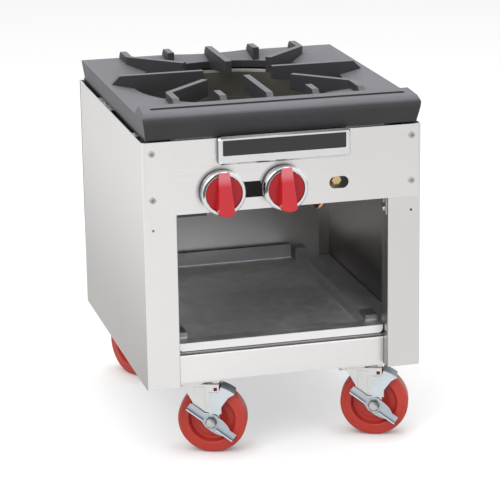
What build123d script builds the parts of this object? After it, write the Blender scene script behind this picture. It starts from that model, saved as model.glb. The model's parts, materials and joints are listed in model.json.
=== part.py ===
from build123d import *
import os
from math import cos, radians, sin, sqrt

# Stock pot range on casters. The front faces -Y, +X is to the user's right, +Z is up.
# The origin lies on the floor under the middle of the cabinet. All sizes are in millimetres.

os.makedirs("parts", exist_ok=True)

# --- Driving dimensions -------------------------------------------------------------------

# Cabinet
cabinet_width = 457.0
cabinet_depth = 508.0
cabinet_height = 406.0
sheet = 1.5
fold_radius = 2.5
stile_width = 55.0
jamb_depth = 29.5
rear_flange = 20.0
seat_gap = 0.3
slide_gap = 1.5

# Base deck, lower rail and tray
deck_sheet = 2.0
deck_height = 47.0
deck_flange = 135.0
deck_setback = 10.0
rail_return = 22.0
rail_recess = 20.0
tray_sheet = 1.2
tray_wall_height = 27.0
tray_side_flange = 20.0
tray_front_flange = 27.0
tray_front_height = 17.7
tray_ramp = 20.0
tray_lip = 13.3
tray_corner_radius = 8.0
tray_rear_gap = 8.0

# Top plate and the shroud round the burner
top_plate_rise = 3.7
top_plate_inset = 5.0
top_plate_trough = 14.0
top_plate_skirt = 40.0
top_plate_front_gap = 14.0
burner_y = 30.0
shroud_radius = 171.0
shroud_height = 61.0
shroud_rise = 9.5
shroud_rim = 8.0

# Grate casting
grate_edge_height = 33.0
grate_wall = 8.0
grate_foot_inset = 7.5
grate_edge_inset = 2.0
grate_end_inset = 7.0
grate_back_gap = 12.0
grate_opening_radius = 178.0
grate_dish_radius = 222.0
grate_dish_drop = 10.0
grate_collar_drop = 12.0
rail_top_depth = 46.0
rail_rise = 12.0
rail_nose = 10.0
rail_nose_radius = 14.0
rail_undercut = 12.0
rail_panel_gap = 2.5
recess_end_margin = 20.5
recess_width = 11.0
recess_depth = 1.5
fin_thickness = 11.0
fin_rise = 12.4
fin_depth = 22.0
fin_reach = 203.0
fin_inner_reach = 60.0
fin_end_slope = 15.0
corner_vertex = 153.5
corner_inner = 74.0
stub_offset = 76.5
stub_inner_reach = 164.0

# Control panel and its trim
panel_height = 119.0
panel_side_gap = 5.0
panel_return = 12.0
knob_drop = 86.5
knob_pitch = 101.5
right_knob_x = 0.0
stem_hole_radius = 11.0
slot_height = 26.0
slot_end_inset = 22.0
peep_x = 91.0
peep_length = 32.0
peep_height = 19.7
panel_screw_margin = 16.0
panel_screw_inset = 18.0
panel_screw_pitch = 74.4
screw_radius = 2.1
screw_head_radius = 5.0
screw_head_height = 2.4
stile_hole_drop = 23.0
bracket_height = 30.0
bracket_depth = 24.0
strip_length = 47.0
strip_drop = 6.0
clip_length = 100.0
clip_y = 46.0
short_clip_length = 24.0
short_clip_y = -190.0
clip_screw_radius = 2.2
clip_screw_height = 2.0
nameplate_width = 218.0
nameplate_height = 46.0
nameplate_thickness = 9.0
nameplate_top_rise = 3.0
nameplate_bevel = 3.5
nameplate_corner = 8.0
inset_width = 201.0
inset_height = 24.6
inset_margin = 6.3
inset_depth = 1.6

# Knobs and bezels
bezel_radius = 37.0
bezel_depth = 17.0
bezel_floor = 4.0
knob_radius = 29.0
knob_bezel_gap = 0.8
knob_disc_depth = 11.0
handle_depth = 22.0
handle_top_depth = 5.0
handle_top_width = 17.0
handle_bottom_width = 26.0
handle_top_reach = 35.0
handle_bottom_reach = 33.0
handle_edge = 1.5

# Gas train
manifold_radius = 13.35
pipe_wall = 2.9
manifold_above_valve = 31.0
manifold_setback = 47.5
manifold_end_gap = 25.5
supply_margin = 38.5
valve_radius = 11.0
valve_front_gap = 12.0
valve_rear_setback = 56.0
stem_radius = 4.0
running_clearance = 0.05
orifice_radius = 8.0
orifice_length = 16.0
mixer_radius = 15.0
mixer_mouth_radius = 21.0
mixer_wall = 3.0
mixer_flare = 34.0
burner_drop = 28.0
ring_height = 24.0
outer_ring_radius = 112.0
outer_ring_width = 26.0
middle_ring_radius = 72.0
middle_ring_width = 22.0
inner_ring_radius = 34.0
inner_ring_width = 20.0
arm_width = 14.0
pilot_tube_radius = 3.2
pilot_bearing = 40.0
pilot_loop_drop = 22.0
pilot_loop_offset = 19.0
pilot_loop_rise = 14.0
inlet_projection = 39.0
inlet_hole_gap = 0.5
elbow_socket = 6.5
locknut_radius = 19.0
locknut_thickness = 8.0
clamp_thickness = 1.6
clamp_length = 16.0
clamp_y = 90.0
mixer_overlap = 4.0
bar_offset = 100.0
bar_width = 20.0
bar_drop = 11.0

# Casters
kingpin_side_inset = 89.5
kingpin_end_inset = 66.0
front_heading = -20.5
rear_heading = 113.0
wheel_radius = 56.5
wheel_width = 31.0
wheel_recess_radius = 38.5
wheel_recess = 11.0
hub_radius = 16.0
trail = 32.0
caster_plate_size = 84.0
caster_plate_thickness = 4.0
caster_bolt_pitch = 62.0
caster_bolt_radius = 7.5
raceway_radius = 27.0
raceway_height = 8.2
raceway_gap = 0.3
kingpin_head = 5.0
axle_head = 5.0
caster_bolt_head = 5.0
wheel_chamfer = 3.0
fork_sheet = 3.0
fork_headroom = 3.0
fork_plate_thickness = 3.5
fork_wheel_gap = 2.5
fork_plate_half = 26.0
fork_leg_lead = 16.0
fork_leg_half = 31.0
fork_leg_shoulder = 33.0
fork_leg_step = 20.0
fork_boss_radius = 13.0
fork_window = 5.5
fork_window_x = 7.0
fork_window_rise = 54.5
kingpin_radius = 8.0
axle_radius = 6.0
brake_sheet = 2.2
brake_gap = 0.3
pedal_angle = -36.0
pedal_reach = 46.0
pedal_width = 12.0
pedal_web_length = 28.0
pedal_web_offset = 8.0
pedal_flange = 6.0
shoe_angle = 63.0
shoe_gap = 2.5
shoe_spread = 12.0
shoe_arm_left = 3.8
shoe_arm_right = 16.5
shoe_arm_top = 49.0
shoe_shoulder_x = 28.0
shoe_shoulder_z = 41.0
shoe_reach = 30.0

# --- Places worked out from the sizes ------------------------------------------------------

wheel_z = wheel_radius
fork_plate_bottom = 2 * wheel_radius + fork_headroom
fork_top = fork_plate_bottom + fork_plate_thickness
underside_height = fork_top + raceway_gap + raceway_height + caster_plate_thickness

half_width = cabinet_width / 2
front_face = -cabinet_depth / 2
rear_face = cabinet_depth / 2
cabinet_top = underside_height + cabinet_height
side_inner = half_width - sheet
stile_inner = half_width - stile_width
jamb_back = front_face + sheet / 2 + jamb_depth

rail_top = underside_height + deck_height
rail_front = front_face + rail_recess
deck_top = underside_height + deck_height + deck_sheet

tray_half_width = stile_inner - slide_gap
tray_floor = deck_top + seat_gap
tray_side_top = tray_floor + tray_wall_height
tray_front_top = tray_floor + tray_front_height
tray_pan_half = tray_half_width - tray_side_flange
tray_rear = rear_face - 2 * sheet - tray_rear_gap
tray_front = rail_front

plate_top = cabinet_top + top_plate_rise
grate_underside = plate_top + seat_gap
grate_top = grate_underside + grate_edge_height
fin_top = grate_top + fin_rise
grate_rail_back = front_face + rail_top_depth
grate_rail_top = grate_top + rail_rise
grate_rail_bottom = cabinet_top + rail_panel_gap
grate_back = rear_face - grate_back_gap
grate_foot_half = half_width - grate_foot_inset
grate_edge_half = half_width - grate_edge_inset
grate_rail_half = half_width - grate_end_inset
plate_half_width = side_inner - top_plate_inset

panel_front = front_face - sheet
panel_bottom = cabinet_top - panel_height
panel_half_width = half_width - panel_side_gap
left_knob_x = right_knob_x - knob_pitch
knob_height = cabinet_top - knob_drop
knob_xs = {"left": left_knob_x, "right": right_knob_x}
panel_screw_x = half_width - panel_screw_margin
panel_screw_zs = [cabinet_top - panel_screw_inset, cabinet_top - panel_screw_inset - panel_screw_pitch]

manifold_y = front_face + manifold_setback
manifold_z = knob_height + manifold_above_valve
valve_front = front_face + valve_front_gap
valve_rear = front_face + valve_rear_setback
manifold_left_end = stile_inner - manifold_end_gap
supply_x = half_width - supply_margin
burner_top = plate_top - burner_drop
ring_bottom = burner_top - ring_height

kingpin_x = half_width - kingpin_side_inset
kingpin_y = cabinet_depth / 2 - kingpin_end_inset

fork_inner = wheel_width / 2 + fork_wheel_gap
fork_outer = fork_inner + fork_sheet
shoe_layer = fork_outer + brake_gap
pedal_layer = shoe_layer + brake_sheet + brake_gap
pedal_outer = pedal_layer + brake_sheet


def facing(x, y, z):
    """A plane at (x, y, z) that faces the user: local x to the right, local y up, normal to the front."""
    return Plane(origin=(x, y, z), x_dir=(1, 0, 0), z_dir=(0, -1, 0))


# --- Cabinet ---------------------------------------------------------------------------------


def folded_side(side):
    """One side of the cabinet, folded from a single sheet: jamb, front stile, wall and rear flange."""
    wall_x = side * (half_width - sheet / 2)
    jamb_x = side * (stile_inner + sheet / 2)
    stile_y = front_face + sheet / 2
    flange_y = rear_face - 1.5 * sheet
    with BuildPart() as panel:
        with BuildSketch(Plane.XY.offset(underside_height)):
            with BuildLine():
                FilletPolyline(
                    (jamb_x, jamb_back),
                    (jamb_x, stile_y),
                    (wall_x, stile_y),
                    (wall_x, flange_y),
                    (side * (side_inner - rear_flange), flange_y),
                    radius=fold_radius,
                )
            trace(line_width=sheet)
        extrude(amount=cabinet_height)
        with BuildSketch(facing(0, front_face, 0)):
            screw_places = [(side * panel_screw_x, z) for z in panel_screw_zs]
            with Locations(*screw_places, (side * panel_screw_x, panel_bottom - stile_hole_drop)):
                Circle(screw_radius)
        extrude(amount=-2 * sheet, mode=Mode.SUBTRACT)
    return panel.part


left_side_panel = folded_side(-1)
left_side_panel.label = "left_side_panel"
export_step(left_side_panel, "parts/left_side_panel.step")

right_side_panel = folded_side(1)
right_side_panel.label = "right_side_panel"
export_step(right_side_panel, "parts/right_side_panel.step")

# The rear panel closes the back over the side panels' flanges, with a hole for the gas inlet.
with BuildPart() as rear_panel:
    with BuildSketch(facing(0, rear_face - sheet, 0)):
        with Locations((0, underside_height + cabinet_height / 2)):
            Rectangle(cabinet_width, cabinet_height)
        with Locations((supply_x, manifold_z)):
            Circle(manifold_radius + inlet_hole_gap, mode=Mode.SUBTRACT)
    extrude(amount=-sheet)
rear_panel.part.label = "rear_panel"
export_step(rear_panel.part, "parts/rear_panel.step")

# The deck is one folded sheet: cavity floor, two side legs and two flanges that carry the casters.
deck_leg_x = side_inner - deck_sheet / 2
deck_floor_z = deck_top - deck_sheet / 2
deck_flange_z = underside_height + deck_sheet / 2
deck_front = rail_front + deck_setback
deck_back = rear_face - 2 * sheet - fold_radius
with BuildPart() as base_deck:
    with BuildSketch(facing(0, deck_back, 0)):
        with BuildLine():
            FilletPolyline(
                (side_inner - deck_flange, deck_flange_z),
                (deck_leg_x, deck_flange_z),
                (deck_leg_x, deck_floor_z),
                (-deck_leg_x, deck_floor_z),
                (-deck_leg_x, deck_flange_z),
                (deck_flange - side_inner, deck_flange_z),
                radius=fold_radius,
            )
        trace(line_width=deck_sheet)
    extrude(amount=deck_back - deck_front)
    # Slots in the front edge clear the jambs of the stiles.
    with BuildSketch(Plane.XY.offset(deck_top)):
        for side in (-1, 1):
            with Locations((side * (stile_inner + sheet / 2), jamb_back + seat_gap - jamb_depth / 2)):
                Rectangle(sheet + 2 * seat_gap, jamb_depth)
    extrude(amount=-(deck_height + deck_sheet), mode=Mode.SUBTRACT)
base_deck.part.label = "base_deck"
export_step(base_deck.part, "parts/base_deck.step")

# The lower rail stands between the jambs, set back from the stiles, and folds back under the deck.
with BuildPart() as lower_rail:
    with BuildSketch(Plane.YZ):
        with BuildLine():
            FilletPolyline(
                (rail_front + sheet / 2, underside_height),
                (rail_front + sheet / 2, rail_top - sheet / 2),
                (rail_front + sheet / 2 + rail_return, rail_top - sheet / 2),
                radius=fold_radius,
            )
        trace(line_width=sheet)
    extrude(amount=stile_inner - seat_gap, both=True)
lower_rail.part.label = "lower_rail"
export_step(lower_rail.part, "parts/lower_rail.step")

# --- Drip tray ---------------------------------------------------------------------------------

# A pan with outward side flanges, a raised back and a lower front strip that ends in a rounded lip.
ramp_front = tray_front + tray_front_flange
ramp_back = ramp_front + tray_ramp
side_front = ramp_front + tray_sheet
with BuildPart() as drip_tray:
    with BuildSketch(Plane.YZ):
        with BuildLine():
            Polyline(
                (tray_front + tray_sheet / 2, tray_front_top - tray_sheet / 2),
                (ramp_front, tray_front_top - tray_sheet / 2),
                (ramp_back, tray_floor + tray_sheet / 2),
                (tray_rear - tray_sheet / 2, tray_floor + tray_sheet / 2),
                (tray_rear - tray_sheet / 2, tray_side_top),
            )
        trace(line_width=tray_sheet)
    extrude(amount=tray_pan_half, both=True)
    for side in (-1, 1):
        wall_x = side * (tray_pan_half - tray_sheet / 2)
        with BuildSketch(facing(0, tray_rear, 0)):
            with BuildLine():
                Polyline(
                    (wall_x, tray_floor),
                    (wall_x, tray_side_top - tray_sheet / 2),
                    (side * tray_half_width, tray_side_top - tray_sheet / 2),
                )
            trace(line_width=tray_sheet)
        extrude(amount=tray_rear - side_front)
        # A corner plate closes the front end of the side flange down to the front strip.
        corner_z = (tray_front_top + tray_side_top) / 2 - tray_sheet
        with BuildSketch(facing(0, side_front + tray_sheet, 0)):
            with Locations((side * (tray_half_width - tray_side_flange / 2), corner_z)):
                Rectangle(tray_side_flange, tray_side_top - tray_front_top)
        extrude(amount=2 * tray_sheet)
    with BuildSketch(Plane.XY.offset(tray_front_top - tray_sheet)):
        with Locations((0, (tray_front + ramp_front) / 2)):
            Rectangle(2 * tray_half_width, tray_front_flange)
    extrude(amount=tray_sheet)
    with BuildSketch(facing(0, tray_front + tray_sheet, 0)):
        with Locations((0, tray_front_top - tray_lip / 2)):
            lip = Rectangle(2 * tray_half_width, tray_lip)
        fillet(lip.vertices().group_by(Axis.Y)[0], radius=tray_corner_radius)
    extrude(amount=tray_sheet)
drip_tray.part.label = "drip_tray"
export_step(drip_tray.part, "parts/drip_tray.step")

# --- Top plate and burner shroud -----------------------------------------------------------------

plate_front = front_face + top_plate_front_gap
plate_back = rear_face - 2 * sheet
plate_depth = plate_back - plate_front
plate_middle = (plate_front + plate_back) / 2
trough_z = plate_top - top_plate_trough
skirt_front = plate_front + jamb_depth
skirt_back = plate_back - 2 * sheet
with BuildPart() as top_plate:
    with BuildSketch(Plane.XY.offset(plate_top - sheet)):
        with Locations((0, plate_middle)):
            Rectangle(2 * plate_half_width, plate_depth)
        with Locations((0, burner_y)):
            Circle(shroud_radius + seat_gap, mode=Mode.SUBTRACT)
    extrude(amount=sheet)
    # Each side steps down into a narrow trough and ends in a skirt against the side panel.
    for side in (-1, 1):
        with BuildSketch(facing(0, skirt_back, 0)):
            with BuildLine():
                Polyline(
                    (side * (plate_half_width - sheet / 2), plate_top),
                    (side * (plate_half_width - sheet / 2), trough_z),
                    (side * (side_inner - sheet / 2), trough_z),
                    (side * (side_inner - sheet / 2), plate_top - top_plate_skirt),
                )
            trace(line_width=sheet)
        extrude(amount=skirt_back - skirt_front)
    with BuildSketch(Plane.XY.offset(plate_top - top_plate_trough)):
        with Locations((0, plate_front + sheet / 2)):
            Rectangle(2 * (stile_inner - slide_gap), sheet)
    extrude(amount=top_plate_trough)
top_plate.part.label = "top_plate"
export_step(top_plate.part, "parts/top_plate.step")

# The shroud hangs in the plate's hole by a welded flange, and its wall stands up under the grate's collar.
with BuildPart() as burner_shroud:
    with BuildSketch(Plane.XY.offset(plate_top - shroud_height)):
        with Locations((0, burner_y)):
            Circle(shroud_radius)
            Circle(shroud_radius - sheet, mode=Mode.SUBTRACT)
    extrude(amount=shroud_height + shroud_rise)
    with BuildSketch(Plane.XY.offset(plate_top)):
        with Locations((0, burner_y)):
            Circle(shroud_radius + shroud_rim)
            Circle(shroud_radius - sheet / 2, mode=Mode.SUBTRACT)
    extrude(amount=sheet)
burner_shroud.part.label = "burner_shroud"
export_step(burner_shroud.part, "parts/burner_shroud.step")

# --- Cast grate ------------------------------------------------------------------------------------

dish_bottom = grate_top - grate_dish_drop
opening_axis = Axis((0, burner_y, 0), (0, 0, 1))
fin_bottom = dish_bottom - grate_collar_drop
fin_web = fin_top - fin_bottom
rail_face_bottom = front_face - rail_nose + rail_undercut

# The fins are drawn in plan, then cut to a common sloped outline that brings every end down to the plate.
fin_path_end = fin_reach + fin_end_slope
fin_base_reach = fin_reach + fin_web
with BuildPart() as fins:
    with BuildSketch(Plane.XY.offset(fin_bottom)):
        with BuildLine():
            for ahead, aside in ((1, 0), (0, 1), (-1, 0), (0, -1)):
                Line(
                    (ahead * fin_inner_reach, burner_y + aside * fin_inner_reach),
                    (ahead * fin_path_end, burner_y + aside * fin_path_end),
                )
            for side in (-1, 1):
                for end in (-1, 1):
                    FilletPolyline(
                        (side * corner_vertex, burner_y + end * fin_path_end),
                        (side * corner_vertex, burner_y + end * corner_vertex),
                        (side * corner_inner, burner_y + end * corner_inner),
                        radius=fin_thickness / 2 + fold_radius,
                    )
                    Line(
                        (side * stub_offset, burner_y + end * stub_inner_reach),
                        (side * stub_offset, burner_y + end * fin_path_end),
                    )
        trace(line_width=fin_thickness)
    extrude(amount=fin_web)
    with BuildSketch(Plane.XY.offset(fin_bottom)):
        with Locations((0, burner_y)):
            Rectangle(2 * fin_base_reach, 2 * fin_base_reach)
    extrude(amount=fin_web, taper=45, mode=Mode.INTERSECT)
    # The webs are shallow at their inner ends and deepen toward the collar.
    with BuildSketch(Plane.XZ.offset(-burner_y)):
        with BuildLine():
            Polyline(
                (0, fin_top - fin_depth),
                (fin_inner_reach, fin_top - fin_depth),
                (grate_opening_radius, fin_bottom),
                (0, fin_bottom),
                close=True,
            )
        make_face()
    revolve(axis=opening_axis, mode=Mode.SUBTRACT)
    # The rear fins end flush with the plate's back edge.
    with BuildSketch(Plane.XY.offset(fin_bottom)):
        with Locations((0, grate_back + fin_base_reach / 2)):
            Rectangle(2 * fin_base_reach, fin_base_reach)
    extrude(amount=fin_web, mode=Mode.SUBTRACT)

with BuildPart() as grate:
    # The plate and the front rail start as one outline along the width of the casting.
    with BuildSketch(Plane.YZ):
        with BuildLine():
            nose = (front_face - rail_nose, grate_top - sheet)
            Polyline(
                (grate_back, grate_underside),
                (grate_back, grate_top),
                (grate_rail_back + rail_rise / 3, grate_top),
                (grate_rail_back, grate_rail_top),
                (front_face - rail_nose + rail_nose_radius, grate_rail_top - rail_nose / 3),
                nose,
                (rail_face_bottom, grate_rail_bottom),
                (rail_face_bottom + grate_wall, grate_rail_bottom),
                (rail_face_bottom + grate_wall, grate_underside),
                close=True,
            )
        make_face()
        nose_corners = vertices().filter_by(lambda v: v.X < front_face + rail_nose and v.Y > grate_underside)
        fillet(nose_corners, radius=rail_nose_radius)
    extrude(amount=half_width, both=True)
    # The ends draw in toward the feet and above the plate's edge.
    with BuildSketch(facing(0, rear_face, 0)):
        with BuildLine():
            right_end = [
                (grate_foot_half, grate_rail_bottom),
                (grate_edge_half, grate_top),
                (grate_rail_half, grate_rail_top),
            ]
            left_end = [(-x, z) for x, z in reversed(right_end)]
            Polyline(*right_end, *left_end, close=True)
        make_face()
    extrude(amount=cabinet_depth + 2 * rail_nose, mode=Mode.INTERSECT)
    # The underside is hollow between the edge skirt and the rail's front wall.
    hollow_front = rail_face_bottom + grate_wall
    hollow_back = grate_back - grate_wall
    with BuildSketch(Plane.XY.offset(grate_underside)):
        with Locations((0, (hollow_front + hollow_back) / 2)):
            Rectangle(2 * (grate_foot_half - grate_wall), hollow_back - hollow_front)
    extrude(amount=dish_bottom - grate_wall / 2 - grate_underside, mode=Mode.SUBTRACT)
    # A collar stands down round the opening, and the plate slopes into it.
    with BuildSketch(Plane.XY.offset(dish_bottom - grate_collar_drop)):
        with Locations((0, burner_y)):
            Circle(grate_opening_radius + grate_wall)
    extrude(amount=grate_collar_drop)
    with BuildSketch(Plane.XZ.offset(-burner_y)):
        with BuildLine():
            Polyline(
                (0, grate_top + fin_rise),
                (grate_dish_radius, grate_top + fin_rise),
                (grate_dish_radius, grate_top),
                (grate_opening_radius, dish_bottom),
                (grate_opening_radius, grate_underside - grate_wall),
                (0, grate_underside - grate_wall),
                close=True,
            )
        make_face()
    revolve(axis=opening_axis, mode=Mode.SUBTRACT)
    # The rail is hollow from below, and a shallow bare strip runs along its top.
    pocket_front = rail_face_bottom + grate_wall
    pocket_back = grate_rail_back - grate_wall / 2
    with BuildSketch(Plane.XY.offset(grate_underside)):
        with Locations((0, (pocket_front + pocket_back) / 2)):
            Rectangle(2 * (grate_foot_half - grate_wall), pocket_back - pocket_front)
    extrude(amount=grate_rail_top - grate_wall - rail_nose / 2 - grate_underside, mode=Mode.SUBTRACT)
    with BuildSketch(Plane.XY.offset(grate_rail_top - rail_nose / 4 - recess_depth)):
        with Locations((0, (front_face + grate_rail_back) / 2)):
            SlotOverall(cabinet_width - 2 * recess_end_margin, recess_width)
    extrude(amount=rail_nose, mode=Mode.SUBTRACT)
    add(fins.part)
grate.part.label = "grate"
export_step(grate.part, "parts/grate.step")

# --- Control panel, nameplate, bezels and knobs ------------------------------------------------------

with BuildPart() as control_panel:
    with BuildSketch(facing(0, front_face, 0)):
        with Locations((0, (panel_bottom + cabinet_top) / 2)):
            Rectangle(2 * panel_half_width, panel_height)
        with Locations((left_knob_x, knob_height), (right_knob_x, knob_height)):
            Circle(stem_hole_radius, mode=Mode.SUBTRACT)
        with Locations(((left_knob_x + right_knob_x) / 2, knob_height)):
            Rectangle(knob_pitch - 2 * slot_end_inset, slot_height, mode=Mode.SUBTRACT)
        with Locations((peep_x, knob_height)):
            SlotOverall(peep_length, peep_height, mode=Mode.SUBTRACT)
        with Locations(*[(side * panel_screw_x, z) for side in (-1, 1) for z in panel_screw_zs]):
            Circle(screw_radius, mode=Mode.SUBTRACT)
    extrude(amount=sheet)
    # Top and bottom edges fold back between the stiles.
    for z in (panel_bottom + sheet / 2, cabinet_top - sheet / 2):
        with BuildSketch(facing(0, front_face + panel_return, 0)):
            with Locations((0, z)):
                Rectangle(2 * (stile_inner - seat_gap), sheet)
        extrude(amount=panel_return)
control_panel.part.label = "control_panel"
export_step(control_panel.part, "parts/control_panel.step")

with BuildPart() as panel_screws:
    for side in (-1, 1):
        for z in panel_screw_zs:
            with BuildSketch(facing(side * panel_screw_x, panel_front, z)):
                Circle(screw_head_radius)
            extrude(amount=screw_head_height)
            with BuildSketch(facing(side * panel_screw_x, panel_front, z)):
                Circle(screw_radius - running_clearance)
            extrude(amount=-4 * sheet)
panel_screws.part.label = "panel_screws"
export_step(panel_screws.part, "parts/panel_screws.step")

# The nameplate is a bevelled frame with a bare dark inset near its top.
nameplate_z = cabinet_top + nameplate_top_rise - nameplate_height / 2
inset_z = nameplate_z + nameplate_height / 2 - inset_margin - inset_height / 2
nameplate_front = panel_front - nameplate_thickness
with BuildPart() as nameplate_frame:
    with BuildSketch(facing(0, panel_front, nameplate_z)):
        RectangleRounded(nameplate_width, nameplate_height, nameplate_corner)
    extrude(amount=nameplate_thickness)
    chamfer(faces().sort_by(Axis.Y)[0].edges(), length=nameplate_bevel)
    with BuildSketch(facing(0, nameplate_front, inset_z)):
        RectangleRounded(inset_width, inset_height, inset_depth)
    extrude(amount=-inset_depth, mode=Mode.SUBTRACT)
nameplate_frame.part.label = "nameplate_frame"
export_step(nameplate_frame.part, "parts/nameplate_frame.step")

with BuildPart() as nameplate_inset:
    with BuildSketch(facing(0, nameplate_front + inset_depth, inset_z)):
        RectangleRounded(inset_width - seat_gap, inset_height - seat_gap, inset_depth)
    extrude(amount=inset_depth / 2)
nameplate_inset.part.label = "nameplate_inset"
export_step(nameplate_inset.part, "parts/nameplate_inset.step")

# A small bracket on the right jamb carries two screws, close under the panel.
bracket_x = stile_inner - sheet
bracket_z = panel_bottom - bracket_height / 2
with BuildPart() as panel_bracket:
    with BuildSketch(Plane.YZ.offset(stile_inner)):
        with Locations((jamb_back - bracket_depth / 2, bracket_z)):
            Rectangle(bracket_depth, bracket_height)
    extrude(amount=-sheet)
panel_bracket.part.label = "panel_bracket"
export_step(panel_bracket.part, "parts/panel_bracket.step")

with BuildPart() as bracket_screws:
    with BuildSketch(Plane.YZ.offset(bracket_x)):
        with Locations((jamb_back - bracket_depth / 2, bracket_z)):
            with GridLocations(0, bracket_height / 2, 1, 2):
                RegularPolygon(screw_head_radius - seat_gap, 6)
    extrude(amount=-screw_head_height)
bracket_screws.part.label = "bracket_screws"
export_step(bracket_screws.part, "parts/bracket_screws.step")

# A short angle strip hangs from the panel's lower fold at the left of the opening.
strip_y = front_face + panel_return / 2
with BuildPart() as inner_flange:
    with BuildSketch(facing(0, strip_y, 0)):
        with Locations((strip_length / 2 - stile_inner + slide_gap, panel_bottom - strip_drop / 2)):
            Rectangle(strip_length, strip_drop)
    extrude(amount=sheet)
inner_flange.part.label = "inner_flange"
export_step(inner_flange.part, "parts/inner_flange.step")

# Clips bridge the troughs at both sides of the top plate, each with a screw.
clip_places = [(clip_y, clip_length), (short_clip_y, short_clip_length)]
clip_x = (plate_half_width + side_inner) / 2
clip_width = side_inner - plate_half_width
with BuildPart() as side_clips:
    with BuildSketch(Plane.XY.offset(cabinet_top - sheet)):
        for side in (-1, 1):
            for y, length in clip_places:
                with Locations((side * clip_x, y)):
                    Rectangle(clip_width, length)
    extrude(amount=sheet)
side_clips.part.label = "side_clips"
export_step(side_clips.part, "parts/side_clips.step")

with BuildPart() as side_screws:
    with BuildSketch(Plane.XY.offset(cabinet_top)):
        for side in (-1, 1):
            for y, length in clip_places:
                with Locations((side * clip_x, y)):
                    RegularPolygon(clip_screw_radius, 6)
    extrude(amount=clip_screw_height)
side_screws.part.label = "side_screws"
export_step(side_screws.part, "parts/side_screws.step")

# Each bezel is a stepped cup on the panel, and the knob's disc sits in it.
stem_front = panel_front - bezel_floor - knob_disc_depth
knob_back = panel_front - bezel_floor - seat_gap
disc_front = knob_back - knob_disc_depth
cup_radius = knob_radius + knob_bezel_gap
for name, x in knob_xs.items():
    knob_axis = Axis((x, 0, knob_height), (0, -1, 0))
    with BuildPart() as bezel:
        with BuildSketch(Plane.XY.offset(knob_height)):
            with BuildLine():
                Polyline(
                    (x + stem_hole_radius - sheet, panel_front),
                    (x + bezel_radius, panel_front),
                    (x + bezel_radius, panel_front - bezel_floor),
                    (x + bezel_radius - sheet, panel_front - bezel_floor),
                    (x + bezel_radius - sheet, panel_front - bezel_depth + sheet),
                    (x + bezel_radius - 2 * sheet, panel_front - bezel_depth),
                    (x + cup_radius, panel_front - bezel_depth),
                    (x + cup_radius, panel_front - bezel_floor),
                    (x + stem_hole_radius - sheet, panel_front - bezel_floor),
                    close=True,
                )
            make_face()
        revolve(axis=knob_axis)
    bezel.part.label = f"{name}_bezel"
    export_step(bezel.part, f"parts/{name}_bezel.step")

    # The handle is a wedge that deepens toward its lower end, over the bezel's rim.
    with BuildPart() as knob:
        with BuildSketch(facing(x, knob_back, knob_height)):
            with BuildLine():
                top_half = handle_top_width / 2
                bottom_half = handle_bottom_width / 2
                corner_drop = handle_bottom_reach - top_half / 2
                Line((-top_half, handle_top_reach), (top_half, handle_top_reach))
                Line((top_half, handle_top_reach), (bottom_half, -corner_drop))
                ThreePointArc((bottom_half, -corner_drop), (0, -handle_bottom_reach), (-bottom_half, -corner_drop))
                Line((-bottom_half, -corner_drop), (-top_half, handle_top_reach))
            make_face()
        extrude(amount=knob_disc_depth + handle_depth)
        with BuildSketch(Plane.YZ.offset(x)):
            with BuildLine():
                Polyline(
                    (knob_back, knob_height - handle_bottom_reach),
                    (disc_front - handle_depth, knob_height - handle_bottom_reach),
                    (disc_front - handle_top_depth, knob_height + handle_top_reach),
                    (knob_back, knob_height + handle_top_reach),
                    close=True,
                )
            make_face()
        extrude(amount=handle_bottom_width, both=True, mode=Mode.INTERSECT)
        fillet(faces().sort_by(Axis.Y)[0].edges(), radius=handle_edge)
        with BuildSketch(facing(x, panel_front, knob_height)):
            Circle(bezel_radius + handle_bottom_reach)
            Circle(knob_radius, mode=Mode.SUBTRACT)
        extrude(amount=bezel_depth + knob_bezel_gap, mode=Mode.SUBTRACT)
        with BuildSketch(facing(x, knob_back, knob_height)):
            Circle(knob_radius)
        extrude(amount=knob_disc_depth)
        with BuildSketch(facing(x, knob_back, knob_height)):
            Circle(stem_radius + running_clearance)
        extrude(amount=knob_back - stem_front, mode=Mode.SUBTRACT)
    knob.part.label = f"{name}_knob"
    export_step(knob.part, f"parts/{name}_knob.step")

    stem_back = valve_front + 2 * stem_radius
    with BuildPart() as valve_stem:
        with BuildSketch(facing(x, stem_back, knob_height)):
            Circle(stem_radius)
        extrude(amount=stem_back - stem_front)
    valve_stem.part.label = f"{name}_valve_stem"
    export_step(valve_stem.part, f"parts/{name}_valve_stem.step")

    # The valve hangs from the manifold by its inlet nipple, with the stem to the front.
    with BuildPart() as valve:
        with BuildSketch(facing(x, valve_rear, knob_height)):
            Circle(valve_radius)
        extrude(amount=valve_rear - valve_front - stem_radius)
        with BuildSketch(facing(x, valve_front + stem_radius, knob_height)):
            Circle(valve_radius - stem_radius / 2)
        extrude(amount=stem_radius)
        with BuildSketch(Plane.XY.offset(knob_height)):
            with Locations((x, manifold_y)):
                Circle(valve_radius - stem_radius)
        extrude(amount=manifold_z - manifold_radius - knob_height)
        with BuildSketch(facing(x, stem_back + running_clearance, knob_height)):
            Circle(stem_radius + running_clearance)
        extrude(amount=4 * stem_radius, mode=Mode.SUBTRACT)
    valve.part.label = f"{name}_valve"
    export_step(valve.part, f"parts/{name}_valve.step")

# --- Gas train -----------------------------------------------------------------------------------------

with BuildPart() as orifice_hoods:
    for x in knob_xs.values():
        with BuildSketch(facing(x, valve_rear + orifice_length / 2, knob_height)):
            RegularPolygon(orifice_radius, 6)
        extrude(amount=orifice_length / 2)
        with BuildSketch(facing(x, valve_rear + orifice_length, knob_height)):
            Circle(orifice_radius / 2)
        extrude(amount=orifice_length / 2)
orifice_hoods.part.label = "orifice_hoods"
export_step(orifice_hoods.part, "parts/orifice_hoods.step")

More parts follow.
